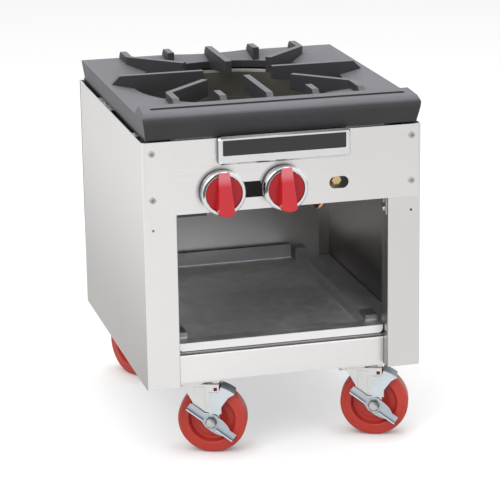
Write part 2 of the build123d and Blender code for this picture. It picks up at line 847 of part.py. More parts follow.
elbow_reach = 2 * manifold_radius
manifold_right_end = supply_x - elbow_reach + elbow_socket - seat_gap
with BuildPart() as manifold_pipe:
    with BuildSketch(Plane.YZ.offset(-manifold_left_end)):
        with Locations((manifold_y, manifold_z)):
            Circle(manifold_radius)
    extrude(amount=manifold_left_end + manifold_right_end)
    with BuildSketch(Plane.YZ.offset(manifold_right_end)):
        with Locations((manifold_y, manifold_z)):
            Circle(manifold_radius - pipe_wall)
    extrude(amount=-(manifold_left_end + manifold_right_end - pipe_wall), mode=Mode.SUBTRACT)
manifold_pipe.part.label = "manifold_pipe"
export_step(manifold_pipe.part, "parts/manifold_pipe.step")

# The supply pipe runs to the back and turns into the manifold's end in an elbow.
supply_front = manifold_y + elbow_reach
inlet_end = rear_face + inlet_projection
with BuildPart() as supply_pipe:
    with BuildLine():
        FilletPolyline(
            (supply_x - elbow_reach, manifold_y, manifold_z),
            (supply_x, manifold_y, manifold_z),
            (supply_x, supply_front, manifold_z),
            radius=elbow_reach - manifold_radius / 2,
        )
    with BuildSketch(Plane.YZ.offset(supply_x - elbow_reach)):
        with Locations((manifold_y, manifold_z)):
            Circle(manifold_radius + pipe_wall)
            Circle(manifold_radius - pipe_wall, mode=Mode.SUBTRACT)
    sweep()
    with BuildSketch(Plane.YZ.offset(supply_x - elbow_reach)):
        with Locations((manifold_y, manifold_z)):
            Circle(manifold_radius + running_clearance)
    extrude(amount=elbow_socket, mode=Mode.SUBTRACT)
    with BuildSketch(facing(supply_x, rear_face + locknut_thickness, manifold_z)):
        RegularPolygon(locknut_radius, 6)
    extrude(amount=locknut_thickness - seat_gap)
    with BuildSketch(facing(supply_x, inlet_end, manifold_z)):
        Circle(manifold_radius)
    extrude(amount=inlet_end - supply_front)
    with BuildSketch(facing(supply_x, inlet_end, manifold_z)):
        Circle(manifold_radius - pipe_wall)
    extrude(amount=inlet_end - supply_front, mode=Mode.SUBTRACT)
supply_pipe.part.label = "supply_pipe"
export_step(supply_pipe.part, "parts/supply_pipe.step")

# A strap round the supply pipe is fixed to the right side panel.
with BuildPart() as pipe_clamp:
    with BuildSketch(facing(supply_x, clamp_y, manifold_z)):
        Circle(manifold_radius + clamp_thickness)
        with Locations(((side_inner - supply_x) / 2, 0)):
            Rectangle(side_inner - supply_x, 2 * clamp_thickness)
        Circle(manifold_radius + running_clearance, mode=Mode.SUBTRACT)
    extrude(amount=clamp_length)
    with BuildSketch(Plane.YZ.offset(side_inner)):
        with Locations((clamp_y - clamp_length / 2, manifold_z)):
            Rectangle(clamp_length, 2 * manifold_radius)
    extrude(amount=-clamp_thickness)
pipe_clamp.part.label = "pipe_clamp"
export_step(pipe_clamp.part, "parts/pipe_clamp.step")

# The pilot valve hangs from the manifold behind the obround hole, its adjusting nut to the front.
pilot_z = knob_height - valve_radius
with BuildPart() as pilot_valve:
    with BuildSketch(Plane.XY.offset(pilot_z)):
        with Locations((peep_x, manifold_y)):
            Rectangle(1.5 * valve_radius, 1.5 * valve_radius)
    extrude(amount=1.5 * valve_radius)
    with BuildSketch(Plane.XY.offset(pilot_z)):
        with Locations((peep_x, manifold_y)):
            Circle(stem_radius)
    extrude(amount=manifold_z - manifold_radius - pilot_z)
    with BuildSketch(facing(peep_x, manifold_y, knob_height)):
        RegularPolygon(valve_radius - 2 * sheet, 6)
    extrude(amount=manifold_y - valve_front)
pilot_valve.part.label = "pilot_valve"
export_step(pilot_valve.part, "parts/pilot_valve.step")

# The pilot tube dips below the panel in one bend and rises between the outer and middle rings.
pilot_radius = (outer_ring_radius - outer_ring_width / 2 + middle_ring_radius + middle_ring_width / 2) / 2
pilot_x = pilot_radius * sin(radians(pilot_bearing))
pilot_y = burner_y - pilot_radius * cos(radians(pilot_bearing))
loop_bottom = panel_bottom - pilot_loop_drop
loop_x = peep_x - pilot_loop_offset
tube_bend = 3 * pilot_tube_radius
pilot_base = ring_bottom - tube_bend
with BuildPart() as pilot_tube:
    with BuildLine():
        FilletPolyline(
            (peep_x, manifold_y, pilot_z),
            (peep_x, manifold_y, pilot_z - tube_bend),
            (loop_x, manifold_y, loop_bottom),
            (pilot_x, pilot_y, loop_bottom + pilot_loop_rise),
            (pilot_x, pilot_y, pilot_base),
            radius=tube_bend,
        )
    with BuildSketch(Plane.XY.offset(pilot_z)):
        with Locations((peep_x, manifold_y)):
            Circle(pilot_tube_radius)
    sweep()
pilot_tube.part.label = "pilot_tube"
export_step(pilot_tube.part, "parts/pilot_tube.step")

with BuildPart() as pilot_burner:
    with BuildSketch(Plane.XY.offset(pilot_base)):
        with Locations((pilot_x, pilot_y)):
            Circle(1.5 * pilot_tube_radius)
    extrude(amount=burner_top - pilot_base)
pilot_burner.part.label = "pilot_burner"
export_step(pilot_burner.part, "parts/pilot_burner.step")

# --- Burner ----------------------------------------------------------------------------------------------

mixer_mouth_y = valve_rear + orifice_length - mixer_overlap


def burner_ring(radius, width):
    """One cast ring of the burner, with a bevelled crown."""
    bevel = width / 4
    with BuildPart() as ring:
        with BuildSketch(Plane.XZ.offset(-burner_y)):
            with BuildLine():
                Polyline(
                    (radius - width / 2, ring_bottom),
                    (radius + width / 2, ring_bottom),
                    (radius + width / 2, burner_top - bevel),
                    (radius + width / 2 - bevel, burner_top),
                    (radius - width / 2 + bevel, burner_top),
                    (radius - width / 2, burner_top - bevel),
                    close=True,
                )
            make_face()
        revolve(axis=opening_axis)
    return ring.part


def mixing_tube(x, riser_y):
    """A mixing tube along Y with a flared open mouth, and its riser up to the ring above."""
    with BuildPart() as tube:
        with BuildSketch(Plane.XY.offset(knob_height)):
            with BuildLine():
                Polyline(
                    (x, mixer_mouth_y + mixer_flare),
                    (x + mixer_radius - 2 * mixer_wall, mixer_mouth_y + mixer_flare),
                    (x + mixer_mouth_radius - mixer_wall, mixer_mouth_y),
                    (x + mixer_mouth_radius, mixer_mouth_y),
                    (x + mixer_radius - mixer_wall, mixer_mouth_y + mixer_flare),
                    (x + mixer_radius, riser_y),
                    (x, riser_y),
                    close=True,
                )
            make_face()
        revolve(axis=Axis((x, 0, knob_height), (0, 1, 0)))
        with BuildSketch(Plane.XY.offset(knob_height - mixer_radius)):
            with Locations((x, riser_y)):
                Circle(mixer_radius)
        extrude(amount=ring_bottom - knob_height + mixer_radius)
    return tube.part


left_riser_y = burner_y - sqrt(outer_ring_radius**2 - left_knob_x**2)
right_riser_y = burner_y - sqrt(middle_ring_radius**2 - right_knob_x**2)
bar_top = plate_top - shroud_height - seat_gap
bar_half_length = sqrt(shroud_radius**2 - bar_offset**2) + bar_width / 2
foot_x = sqrt(outer_ring_radius**2 - bar_offset**2)

with BuildPart() as outer_burner:
    add(burner_ring(outer_ring_radius, outer_ring_width))
    add(mixing_tube(left_knob_x, left_riser_y))
    # Four feet stand on the support bars.
    with BuildSketch(Plane.XY.offset(bar_top)):
        for side in (-1, 1):
            for end in (-1, 1):
                with Locations((side * foot_x, burner_y + end * bar_offset)):
                    Rectangle(arm_width, arm_width)
    extrude(amount=ring_bottom - bar_top)
outer_burner.part.label = "outer_burner"
export_step(outer_burner.part, "parts/outer_burner.step")

arm_top = ring_bottom - seat_gap
with BuildPart() as inner_burner:
    add(burner_ring(middle_ring_radius, middle_ring_width))
    add(burner_ring(inner_ring_radius, inner_ring_width))
    add(mixing_tube(right_knob_x, right_riser_y))
    # Three arms feed the inner ring, and two feet reach out under the outer ring to the bars.
    with BuildSketch(Plane.XY.offset(ring_bottom)):
        with Locations((0, burner_y)):
            with PolarLocations((middle_ring_radius + inner_ring_radius) / 2, 3, start_angle=-90):
                Rectangle(middle_ring_radius - inner_ring_radius, arm_width)
    extrude(amount=ring_height / 2)
    with BuildSketch(Plane.XY.offset(bar_top)):
        for end in (-1, 1):
            with Locations((0, burner_y + end * (middle_ring_radius + bar_offset) / 2)):
                Rectangle(arm_width, bar_offset - middle_ring_radius + arm_width)
    extrude(amount=arm_top - bar_top)
    with BuildSketch(Plane.XY.offset(arm_top - mixer_wall)):
        for end in (-1, 1):
            with Locations((0, burner_y + end * middle_ring_radius)):
                Rectangle(arm_width, arm_width)
    extrude(amount=2 * mixer_wall)
inner_burner.part.label = "inner_burner"
export_step(inner_burner.part, "parts/inner_burner.step")

with BuildPart() as air_shutters:
    for x in knob_xs.values():
        with BuildSketch(facing(x, mixer_mouth_y, knob_height)):
            Circle(mixer_mouth_radius)
            Circle(orifice_radius + 2 * seat_gap, mode=Mode.SUBTRACT)
            with PolarLocations((mixer_mouth_radius + orifice_radius) / 2, 2):
                Rectangle(mixer_mouth_radius - orifice_radius - mixer_wall, orifice_radius, mode=Mode.SUBTRACT)
        extrude(amount=sheet)
air_shutters.part.label = "air_shutters"
export_step(air_shutters.part, "parts/air_shutters.step")

# Two angle bars hang under the shroud and carry the burner's feet.
with BuildPart() as burner_bars:
    for end in (-1, 1):
        bar_y = burner_y + end * bar_offset
        with BuildSketch(Plane.YZ):
            with BuildLine():
                Polyline(
                    (bar_y - bar_width / 2, bar_top - deck_sheet / 2),
                    (bar_y + bar_width / 2 - deck_sheet / 2, bar_top - deck_sheet / 2),
                    (bar_y + bar_width / 2 - deck_sheet / 2, bar_top - bar_drop),
                )
            trace(line_width=deck_sheet)
        extrude(amount=bar_half_length, both=True)
burner_bars.part.label = "burner_bars"
export_step(burner_bars.part, "parts/burner_bars.step")

# --- Casters -------------------------------------------------------------------------------------------------

# Each is drawn once with its kingpin on the Z axis, trailing along +X, the brake side facing -Y.

with BuildPart() as caster_plate:
    with BuildSketch(Plane.XY.offset(underside_height - caster_plate_thickness)):
        RectangleRounded(caster_plate_size, caster_plate_size, caster_bolt_radius)
    extrude(amount=caster_plate_thickness)
    with BuildSketch(Plane.XY.offset(fork_top + raceway_gap)):
        Circle(raceway_radius)
    extrude(amount=raceway_height)
    with BuildSketch(Plane.XY.offset(fork_plate_bottom - raceway_gap)):
        Circle(kingpin_radius)
    extrude(amount=fork_plate_thickness + 2 * raceway_gap)
    with BuildSketch(Plane.XY.offset(fork_plate_bottom - raceway_gap)):
        Circle(1.4 * kingpin_radius)
    extrude(amount=-kingpin_head)

with BuildPart() as fork:
    plate_length = fork_plate_half + trail + fork_boss_radius
    with BuildSketch(Plane.XY.offset(fork_plate_bottom)):
        with Locations(((trail + fork_boss_radius - fork_plate_half) / 2, 0)):
            Rectangle(plate_length, 2 * fork_outer)
        Circle(kingpin_radius + running_clearance, mode=Mode.SUBTRACT)
    extrude(amount=fork_plate_thickness)
    for leg_back in (-fork_inner, fork_outer):
        with BuildSketch(facing(0, leg_back, 0)):
            with BuildLine():
                Polyline(
                    (-fork_leg_lead, fork_top),
                    (trail + fork_boss_radius, fork_top),
                    (trail + fork_boss_radius, wheel_z),
                    (trail - fork_boss_radius, wheel_z),
                    (trail - fork_leg_half, wheel_z + fork_leg_step),
                    (trail - fork_leg_half, wheel_z + fork_leg_shoulder),
                    close=True,
                )
            make_face()
            with Locations((trail, wheel_z)):
                Circle(fork_boss_radius)
                Circle(axle_radius + running_clearance, mode=Mode.SUBTRACT)
            with Locations((trail + fork_window_x, wheel_z + fork_window_rise)):
                Rectangle(fork_window, fork_window, mode=Mode.SUBTRACT)
        extrude(amount=fork_sheet)

wheel_axis = Axis((trail, 0, wheel_z), (0, 1, 0))
hub_face = fork_inner - seat_gap
web_face = wheel_width / 2 - wheel_recess
with BuildPart() as wheel:
    with BuildSketch(Plane.XY.offset(wheel_z)):
        with BuildLine():
            outline = [
                (axle_radius + running_clearance, hub_face),
                (hub_radius - wheel_chamfer, hub_face),
                (hub_radius, web_face),
                (wheel_recess_radius - wheel_chamfer, web_face),
                (wheel_recess_radius, wheel_width / 2),
                (wheel_radius - wheel_chamfer, wheel_width / 2),
                (wheel_radius, wheel_width / 2 - wheel_chamfer),
            ]
            front_half = [(trail + r, -y) for r, y in outline]
            back_half = [(trail + r, y) for r, y in reversed(outline)]
            Polyline(*front_half, *back_half, close=True)
        make_face()
    revolve(axis=wheel_axis)


def axle_bolt(head_face):
    """The axle bolt with its hex head at head_face on the -Y side and its nut on the far leg."""
    nut_face = fork_outer + seat_gap
    with BuildPart() as bolt:
        with BuildSketch(facing(trail, nut_face + axle_head, wheel_z)):
            Circle(axle_radius)
        extrude(amount=nut_face + axle_head + head_face)
        for face in (-head_face, nut_face + axle_head):
            with BuildSketch(facing(trail, face, wheel_z)):
                RegularPolygon(1.6 * axle_radius, 6)
            extrude(amount=axle_head)
    return bolt.part


brake_axle = axle_bolt(pedal_outer + brake_gap)
plain_axle = axle_bolt(fork_outer + brake_gap)

# The pedal rocks on the axle bolt: a round hub, two wings and a stiffening flange along each wing.
wing_direction = Plane(
    origin=(trail, -pedal_layer, wheel_z),
    x_dir=(cos(radians(pedal_angle)), 0, sin(radians(pedal_angle))),
    z_dir=(0, -1, 0),
)
with BuildPart() as brake_pedal:
    with BuildSketch(wing_direction):
        Circle(fork_boss_radius)
        Rectangle(2 * pedal_reach, pedal_width)
        with Locations((pedal_web_offset, 0)):
            Ellipse(pedal_web_length, fork_boss_radius)
        Circle(axle_radius + running_clearance, mode=Mode.SUBTRACT)
    extrude(amount=brake_sheet)
    wing_length = pedal_reach - fork_boss_radius
    with BuildSketch(wing_direction):
        for end in (-1, 1):
            with Locations((end * (fork_boss_radius + wing_length / 2), (brake_sheet - pedal_width) / 2)):
                Rectangle(wing_length, brake_sheet)
    extrude(amount=brake_sheet + pedal_flange)

# The shoe arm lies between fork and pedal, and its tab curves over the tread.
shoe_radius = wheel_radius + shoe_gap
shoe_start = shoe_angle - shoe_spread
shoe_end = shoe_angle + shoe_spread


def on_wheel(radius, angle):
    """A point in the wheel's plane at a radius and angle from the axle."""
    return (trail + radius * cos(radians(angle)), wheel_z + radius * sin(radians(angle)))


with BuildPart() as brake_shoe:
    arm_plane = facing(0, -shoe_layer, 0)
    arm_left = trail - shoe_arm_left
    arm_right = trail + shoe_arm_right
    arm_top = wheel_z + shoe_arm_top
    arm_bottom = wheel_z + fork_boss_radius + brake_gap
    with BuildSketch(arm_plane):
        with BuildLine():
            Polyline(
                (arm_left, arm_bottom),
                (arm_right, arm_bottom),
                (arm_right, arm_bottom + shoe_spread),
                (trail + shoe_shoulder_x, wheel_z + shoe_shoulder_z),
                on_wheel(shoe_radius + brake_sheet, shoe_start),
                on_wheel(shoe_radius + brake_sheet, shoe_end),
                (trail + shoe_spread, arm_top),
                (arm_left, arm_top),
                close=True,
            )
        make_face()
    extrude(amount=brake_sheet)
    with BuildSketch(facing(0, shoe_reach - shoe_layer, 0)):
        with BuildLine():
            inner = [on_wheel(shoe_radius, angle) for angle in (shoe_start, shoe_angle, shoe_end)]
            outer = [on_wheel(shoe_radius + brake_sheet, angle) for angle in (shoe_start, shoe_angle, shoe_end)]
            ThreePointArc(*inner)
            Line(inner[2], outer[2])
            ThreePointArc(*reversed(outer))
            Line(outer[0], inner[0])
        make_face()
    extrude(amount=shoe_reach + brake_sheet)

caster_places = {
    "front_left": (-kingpin_x, -kingpin_y, front_heading),
    "front_right": (kingpin_x, -kingpin_y, front_heading),
    "rear_left": (-kingpin_x, kingpin_y, rear_heading),
    "rear_right": (kingpin_x, kingpin_y, rear_heading),
}
for corner, (x, y, heading) in caster_places.items():
    fixed = Location((x, y, 0))
    swivelled = Location((x, y, 0), (0, 0, heading))
    pieces = {
        "caster_plate": caster_plate.part.moved(fixed),
        "fork": fork.part.moved(swivelled),
        "wheel": wheel.part.moved(swivelled),
    }
    if corner.startswith("front"):
        pieces["axle"] = brake_axle.moved(swivelled)
        pieces["brake_pedal"] = brake_pedal.part.moved(swivelled)
        pieces["brake_shoe"] = brake_shoe.part.moved(swivelled)
    else:
        pieces["axle"] = plain_axle.moved(swivelled)
    for piece_name, piece in pieces.items():
        piece.label = f"{corner}_{piece_name}"
        export_step(piece, f"parts/{corner}_{piece_name}.step")

# Four bolts hold each caster plate to the deck's flanges, with their heads below.
with BuildPart() as caster_bolts:
    with BuildSketch(Plane.XY.offset(underside_height - caster_plate_thickness)):
        for x in (-kingpin_x, kingpin_x):
            for y in (-kingpin_y, kingpin_y):
                with Locations((x, y)):
                    with GridLocations(caster_bolt_pitch, caster_bolt_pitch, 2, 2):
                        RegularPolygon(caster_bolt_radius, 6)
    extrude(amount=-caster_bolt_head)
caster_bolts.part.label = "caster_bolts"
export_step(caster_bolts.part, "parts/caster_bolts.step")
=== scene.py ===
import json
from math import cos, pi, radians, sin

import bmesh
import bpy
from bpy.props import FloatProperty, FloatVectorProperty, PointerProperty
from mathutils import Matrix, Vector


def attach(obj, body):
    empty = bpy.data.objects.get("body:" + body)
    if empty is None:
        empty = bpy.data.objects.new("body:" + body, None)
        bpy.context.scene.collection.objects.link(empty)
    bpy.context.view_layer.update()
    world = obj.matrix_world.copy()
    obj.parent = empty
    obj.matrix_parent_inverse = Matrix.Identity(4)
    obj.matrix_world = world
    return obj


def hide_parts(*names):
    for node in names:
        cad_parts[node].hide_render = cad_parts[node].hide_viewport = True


bl_info = {
    "name": "Stock Pot Range",
    "version": (1, 0, 0),
    "blender": (4, 5, 0),
    "location": "3D View > Sidebar > Range",
    "description": "Dresses the packed stock pot range with its finishes, fasteners, burner ports and stage",
    "category": "Object",
}

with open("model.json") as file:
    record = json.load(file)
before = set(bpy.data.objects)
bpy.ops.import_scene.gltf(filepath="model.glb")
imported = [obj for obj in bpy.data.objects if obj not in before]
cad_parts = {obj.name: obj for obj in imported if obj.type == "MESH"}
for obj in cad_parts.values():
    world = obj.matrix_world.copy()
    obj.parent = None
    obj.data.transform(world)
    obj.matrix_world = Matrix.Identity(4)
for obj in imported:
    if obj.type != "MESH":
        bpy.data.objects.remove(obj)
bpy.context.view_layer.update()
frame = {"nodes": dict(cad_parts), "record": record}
MM = 0.001
UP = Vector((0.0, 0.0, 1.0))
COAT_ROUGHNESS = 0.12
WELD = 0.002 * MM
FLAT = radians(0.4)
PEDAL_CORNERS = ("front_left", "front_right")
CORNERS = (*PEDAL_CORNERS, "rear_left", "rear_right")


# --- Sizes and colours --------------------------------------------------------------------------


def colour(name, description, default):
    return FloatVectorProperty(
        name=name, description=description, default=default, subtype="COLOR", size=3, min=0.0, max=1.0
    )


def length(name, description, default):
    return FloatProperty(name=name, description=description, default=default, unit="LENGTH", min=0.0)


class RangeSizes(bpy.types.PropertyGroup):
    casting_edge: length("Casting edge", "Rounding on the edges of the cast grate and burner", 1.6 * MM)
    sheet_edge: length("Sheet edge", "Rounding on the edges of cut sheet metal", 0.35 * MM)
    moulded_edge: length("Moulded edge", "Rounding on the edges of knobs and wheels", 0.8 * MM)
    forged_edge: length("Forged edge", "Rounding on the edges of pressed caster parts", 0.5 * MM)
    port_length: length("Port length", "Length of one flame port in the burner's crown", 5.0 * MM)
    port_width: length("Port width", "Width of one flame port in the burner's crown", 1.8 * MM)
    port_pitch: length("Port pitch", "Distance from one flame port to the next round a ring", 11.0 * MM)


class RangeFinishes(bpy.types.PropertyGroup):
    stainless: colour("Stainless", "Satin stainless of the cabinet and the control panel", (0.86, 0.847, 0.838))
    galvanised: colour("Galvanised", "Zinc-coated sheet of the tray, the deck and the shroud", (0.56, 0.565, 0.58))
    cast_iron: colour("Cast iron", "Dark cast iron of the grate", (0.034, 0.034, 0.037))
    # Painted sheen laid on the grate where it faces up and at its two ends.
    sheen_iron: colour("Sheen iron", "Paler iron where the grate faces up", (0.155, 0.155, 0.175))
    burner_iron: colour("Burner iron", "Sooty cast iron of the burner", (0.02, 0.019, 0.016))
    red: colour("Knob red", "Glossy red of the knobs", (0.58, 0.012, 0.022))
    wheel_red: colour("Wheel red", "Satin red of the caster wheels", (0.56, 0.045, 0.03))
    zinc: colour("Zinc plate", "Bright plating of the caster forks and bolts", (0.79, 0.795, 0.78))
    brake_zinc: colour("Brake plate", "Bluish plating of the brake parts", (0.74, 0.8, 0.84))


# --- Node graphs ----------------------------------------------------------------------------------


class Field:
    """One output of a node graph. Arithmetic on it adds Math nodes to the graph."""

    def __init__(self, graph, socket):
        self.graph = graph
        self.socket = socket

    def _maths(self, operation, first, second):
        return self.graph.node(self.graph.maths, {"operation": operation}, {0: first, 1: second})

    def __add__(self, other):
        return self._maths("ADD", self, other)

    def __radd__(self, other):
        return self._maths("ADD", other, self)

    def __sub__(self, other):
        return self._maths("SUBTRACT", self, other)

    def __rsub__(self, other):
        return self._maths("SUBTRACT", other, self)

    def __mul__(self, other):
        return self._maths("MULTIPLY", self, other)

    def __rmul__(self, other):
        return self._maths("MULTIPLY", other, self)

    def __truediv__(self, other):
        return self._maths("DIVIDE", self, other)

    def __abs__(self):
        return self._maths("ABSOLUTE", self, 0.0)


class Graph:
    """A node tree that is filled through one method, which adds a node and returns one of its outputs."""

    maths = "ShaderNodeMath"

    def __init__(self, tree):
        self.tree = tree

    def node(self, kind, settings, inputs, output=0):
        added = self.tree.nodes.new(kind)
        for key, value in settings.items():
            setattr(added, key, value)
        for key, value in inputs.items():
            if isinstance(value, Field):
                self.tree.links.new(value.socket, added.inputs[key])
            else:
                added.inputs[key].default_value = value
        return Field(self, added.outputs[output])


class Finish(Graph):
    """One procedural material on object coordinates, which are metres in the shared frame."""

    def __init__(self, name, base, roughness, metallic=0.0, coat=0.0, specular=0.5):
        self.material = bpy.data.materials.new(name)
        self.material.use_nodes = True
        super().__init__(self.material.node_tree)
        self.shader = self.tree.nodes["Principled BSDF"]
        self.shader.inputs["Base Color"].default_value = (*base, 1.0)
        self.shader.inputs["Roughness"].default_value = roughness
        self.shader.inputs["Metallic"].default_value = metallic
        self.shader.inputs["Coat Weight"].default_value = coat
        self.shader.inputs["Coat Roughness"].default_value = COAT_ROUGHNESS
        self.shader.inputs["Specular IOR Level"].default_value = specular
        self.place = self.node("ShaderNodeTexCoord", {}, {}, "Object")

    def stretched(self, scale):
        return self.node("ShaderNodeMapping", {}, {"Vector": self.place, "Scale": scale})

    def noise(self, scale, detail=2.0, vector=None, rough=0.5):
        inputs = {"Vector": vector or self.place, "Scale": scale, "Detail": detail, "Roughness": rough}
        return self.node("ShaderNodeTexNoise", {}, inputs)

    def mix(self, factor, first, second):
        first = first if isinstance(first, Field) else (*first, 1.0)
        second = second if isinstance(second, Field) else (*second, 1.0)
        return self.node("ShaderNodeMix", {"data_type": "RGBA"}, {0: factor, 6: first, 7: second}, 2)

    def axis(self, index):
        """One of the object coordinates: 0 is across, 1 is front to back and 2 is up."""
        return self.node("ShaderNodeSeparateXYZ", {}, {"Vector": self.place}, index)

    def span(self, field, low, high):
        """Runs from 0 to 1 while the field goes from low to high."""
        inputs = {"Value": field, "From Min": low, "From Max": high}
        return self.node("ShaderNodeMapRange", {"interpolation_type": "SMOOTHSTEP"}, inputs)

    def dim(self, colour, factor, share):
        """The colour times a share, as far as the factor goes from 0 to 1."""
        tint = share if isinstance(share, tuple) else (share, share, share)
        inputs = {0: factor, 6: colour, 7: (*tint, 1.0)}
        return self.node("ShaderNodeMix", {"data_type": "RGBA", "blend_type": "MULTIPLY"}, inputs, 2)

    def vectors(self, operation, first, second=(0.0, 0.0, 0.0), output=0):
        return self.node("ShaderNodeVectorMath", {"operation": operation}, {0: first, 1: second}, output)

    def along(self, origin, direction):
        """How far a point lies from the origin in a direction."""
        away = self.vectors("SUBTRACT", self.place, tuple(origin))
        return self.vectors("DOT_PRODUCT", away, tuple(direction), "Value")

    def around(self, origin, direction):
        """How far a point lies from the line through the origin in a direction."""
        away = self.vectors("SUBTRACT", self.place, tuple(origin))
        return self.vectors("LENGTH", self.vectors("CROSS_PRODUCT", away, tuple(direction)), output="Value")

    def feed(self, name, field):
        self.tree.links.new(field.socket, self.shader.inputs[name])

    def bump(self, height, strength, distance):
        inputs = {"Height": height, "Strength": strength, "Distance": distance}
        self.feed("Normal", self.node("ShaderNodeBump", {}, inputs, "Normal"))


def shade(base, factor):
    return tuple(min(1.0, channel * factor) for channel in base)


# Each painted shade or painted reflection below takes a finish and gives back where it lies, from 0 to 1, and the
# share of the colour that it leaves.


def painted_shade_rightward(finish):
    """Painted shade: the front grows darker from the left side of the cabinet to the right one."""
    low, high = extent("control_panel")
    share = 0.9
    return finish.span(finish.axis(0), low.x, high.x), share


def behind_stiles(finish):
    """0 on the front faces of the side panels' stiles and 1 on all that lies behind them."""
    front = extent("left_side_panel")[0].y
    near, far = 0.3 * MM, 1.5 * MM
    return finish.span(finish.axis(1), front + near, front + far)


def painted_shade_downward(finish):
    """Painted shade: the cabinet's sides grow darker towards the floor, but not the stiles in front."""
    low, high = extent("left_side_panel")
    share = (0.49, 0.475, 0.46)
    return behind_stiles(finish) * (1.0 - finish.span(finish.axis(2), low.z, high.z)), share


def stiles(finish):
    """Painted shade: the stiles in front are a little darker than the cabinet's sides."""
    share = 0.9
    return 1.0 - behind_stiles(finish), share


def right_stile(finish):
    """Painted shade: the right stile stands a little darker than the panel beside it."""
    inner_edge = extent("right_side_panel")[0].x
    blur, share = 2.0 * MM, 0.93
    return finish.span(finish.axis(0), inner_edge - blur, inner_edge), share


def inner_back(finish):
    """1 on the rear panel's inner face and 0 on its outer one."""
    inner = extent("rear_panel")[0].y
    near, far = 0.4 * MM, 1.1 * MM
    return 1.0 - finish.span(finish.axis(1), inner + near, inner + far)


def up_to_mouth(finish, low, high):
    """Runs from 0 to 1 between two drops below the upper edge of the storage mouth."""
    mouth = extent("control_panel")[0].z
    return finish.span(finish.axis(2), mouth - low, mouth - high)


def painted_inner_back_shade(finish):
    """Painted shade: the inner face of the rear panel is darker."""
    share = 0.82
    return inner_back(finish), share


def painted_upper_back_shade(finish):
    """Painted shade: the rear panel's inner face grows darker towards the burner."""
    low, high, share = 215.0 * MM, 140.0 * MM, 0.58
    return inner_back(finish) * up_to_mouth(finish, low, high), share


def painted_burner_shade(finish):
    """Painted shade: the rear panel's inner face is darkest at the burner's height."""
    low, high, share = 142.0 * MM, 116.0 * MM, 0.16
    return inner_back(finish) * up_to_mouth(finish, low, high), share


def painted_trough_shade(finish):
    """Painted shade: the top plate's side troughs are dark where they lie under the grate's skirt."""
    side = extent("top_plate")[1].x
    inner, outer, share = 15.5 * MM, 13.5 * MM, 0.06
    return finish.span(abs(finish.axis(0)), side - inner, side - outer), share


def painted_bezel_band(side, share, inner, outer, turn, start, end):
    """A painted dark band round a bezel, on the side that the turn points to.

    The band's inner limit and the two ends of its outer fade are offsets from the bezel's radius, and start and end
    are the shares of that radius over which the band fades in.
    """
    blur = 0.4 * MM

    def shadow(finish):
        low, high = extent(side + "_bezel")
        x, z = (low.x + high.x) / 2.0, (low.z + high.z) / 2.0
        radius = (high.x - low.x) / 2.0
        away = finish.around((x, 0.0, z), (0.0, 1.0, 0.0))
        facing = (finish.axis(0) - x) * cos(turn) + (finish.axis(2) - z) * sin(turn)
        band = finish.span(away, radius + inner - blur, radius + inner + blur)
        band = band * (1.0 - finish.span(away, radius + outer[0], radius + outer[1]))
        return band * finish.span(facing, start * radius, end * radius), share

    return shadow


def painted_bezel_reflections(side):
    """Painted reflections on a bezel: a dark cone at the upper left, and a dark wall above and at the lower right.
    """
    upper_left, lower_right = radians(135.0), radians(-35.0)
    cone, past_edge = (-3.0 * MM, -2.4 * MM), (5.0 * MM, 6.0 * MM)
    return (
        painted_bezel_band(side, 0.14, -6.4 * MM, cone, upper_left, 0.5, 0.62),
        painted_bezel_band(side, 0.1, -1.2 * MM, past_edge, upper_left, 0.1, 0.5),
        painted_bezel_band(side, 0.12, -2.2 * MM, past_edge, lower_right, 0.75, 0.85),
    )


def painted_bezel_halo(side):
    """Painted reflection and shade on the panel: a soft dark halo where it mirrors the bezel's dark wall."""
    upper_left, fade = radians(135.0), (0.0, 8.0 * MM)
    return painted_bezel_band(side, 0.45, -3.0 * MM, fade, upper_left, 0.0, 1.1)


def painted_plate_left_reflection(finish):
    """Painted reflection: the nameplate's left wall is dark where it mirrors the dark of the room."""
    left = extent("nameplate_frame")[0].x
    wall, bevel, share = 1.4 * MM, 2.2 * MM, 0.25
    return 1.0 - finish.span(finish.axis(0), left + wall, left + bevel), share


def painted_plate_top_reflection(finish):
    """Painted reflection: the nameplate's upper bevel is dark where it mirrors the grate."""
    top = extent("nameplate_frame")[1].z
    bevel, wall, ragged, share = 3.2 * MM, 2.2 * MM, 1.5, 0.22
    streaks = finish.noise(1.0, 2.0, finish.stretched((25.0, 25.0, 700.0)))
    return finish.span(finish.axis(2) + streaks * ragged * MM, top - bevel, top - wall), share


def brushed(name, base, roughness, *shadows):
    """Satin sheet with fine brushed lines, faint handling smudges and the painted shadows and reflections passed to
    it.
    """
    finish = Finish(name, base, roughness, metallic=1.0)
    grain = (4.0, 4.0, 900.0)
    lines = finish.noise(1.0, 3.0, finish.stretched(grain))
    smudges = finish.noise(5.0, 3.0)
    colour = finish.mix(lines * 0.5 + smudges * 0.5, shade(base, 0.95), shade(base, 1.05))
    for shadow in shadows:
        colour = finish.dim(colour, *shadow(finish))
    finish.feed("Base Color", colour)
    finish.feed("Roughness", roughness + (lines - 0.5) * 0.14 + (smudges - 0.5) * 0.12)
    finish.bump(lines, 0.12, 0.00005)
    return finish.material


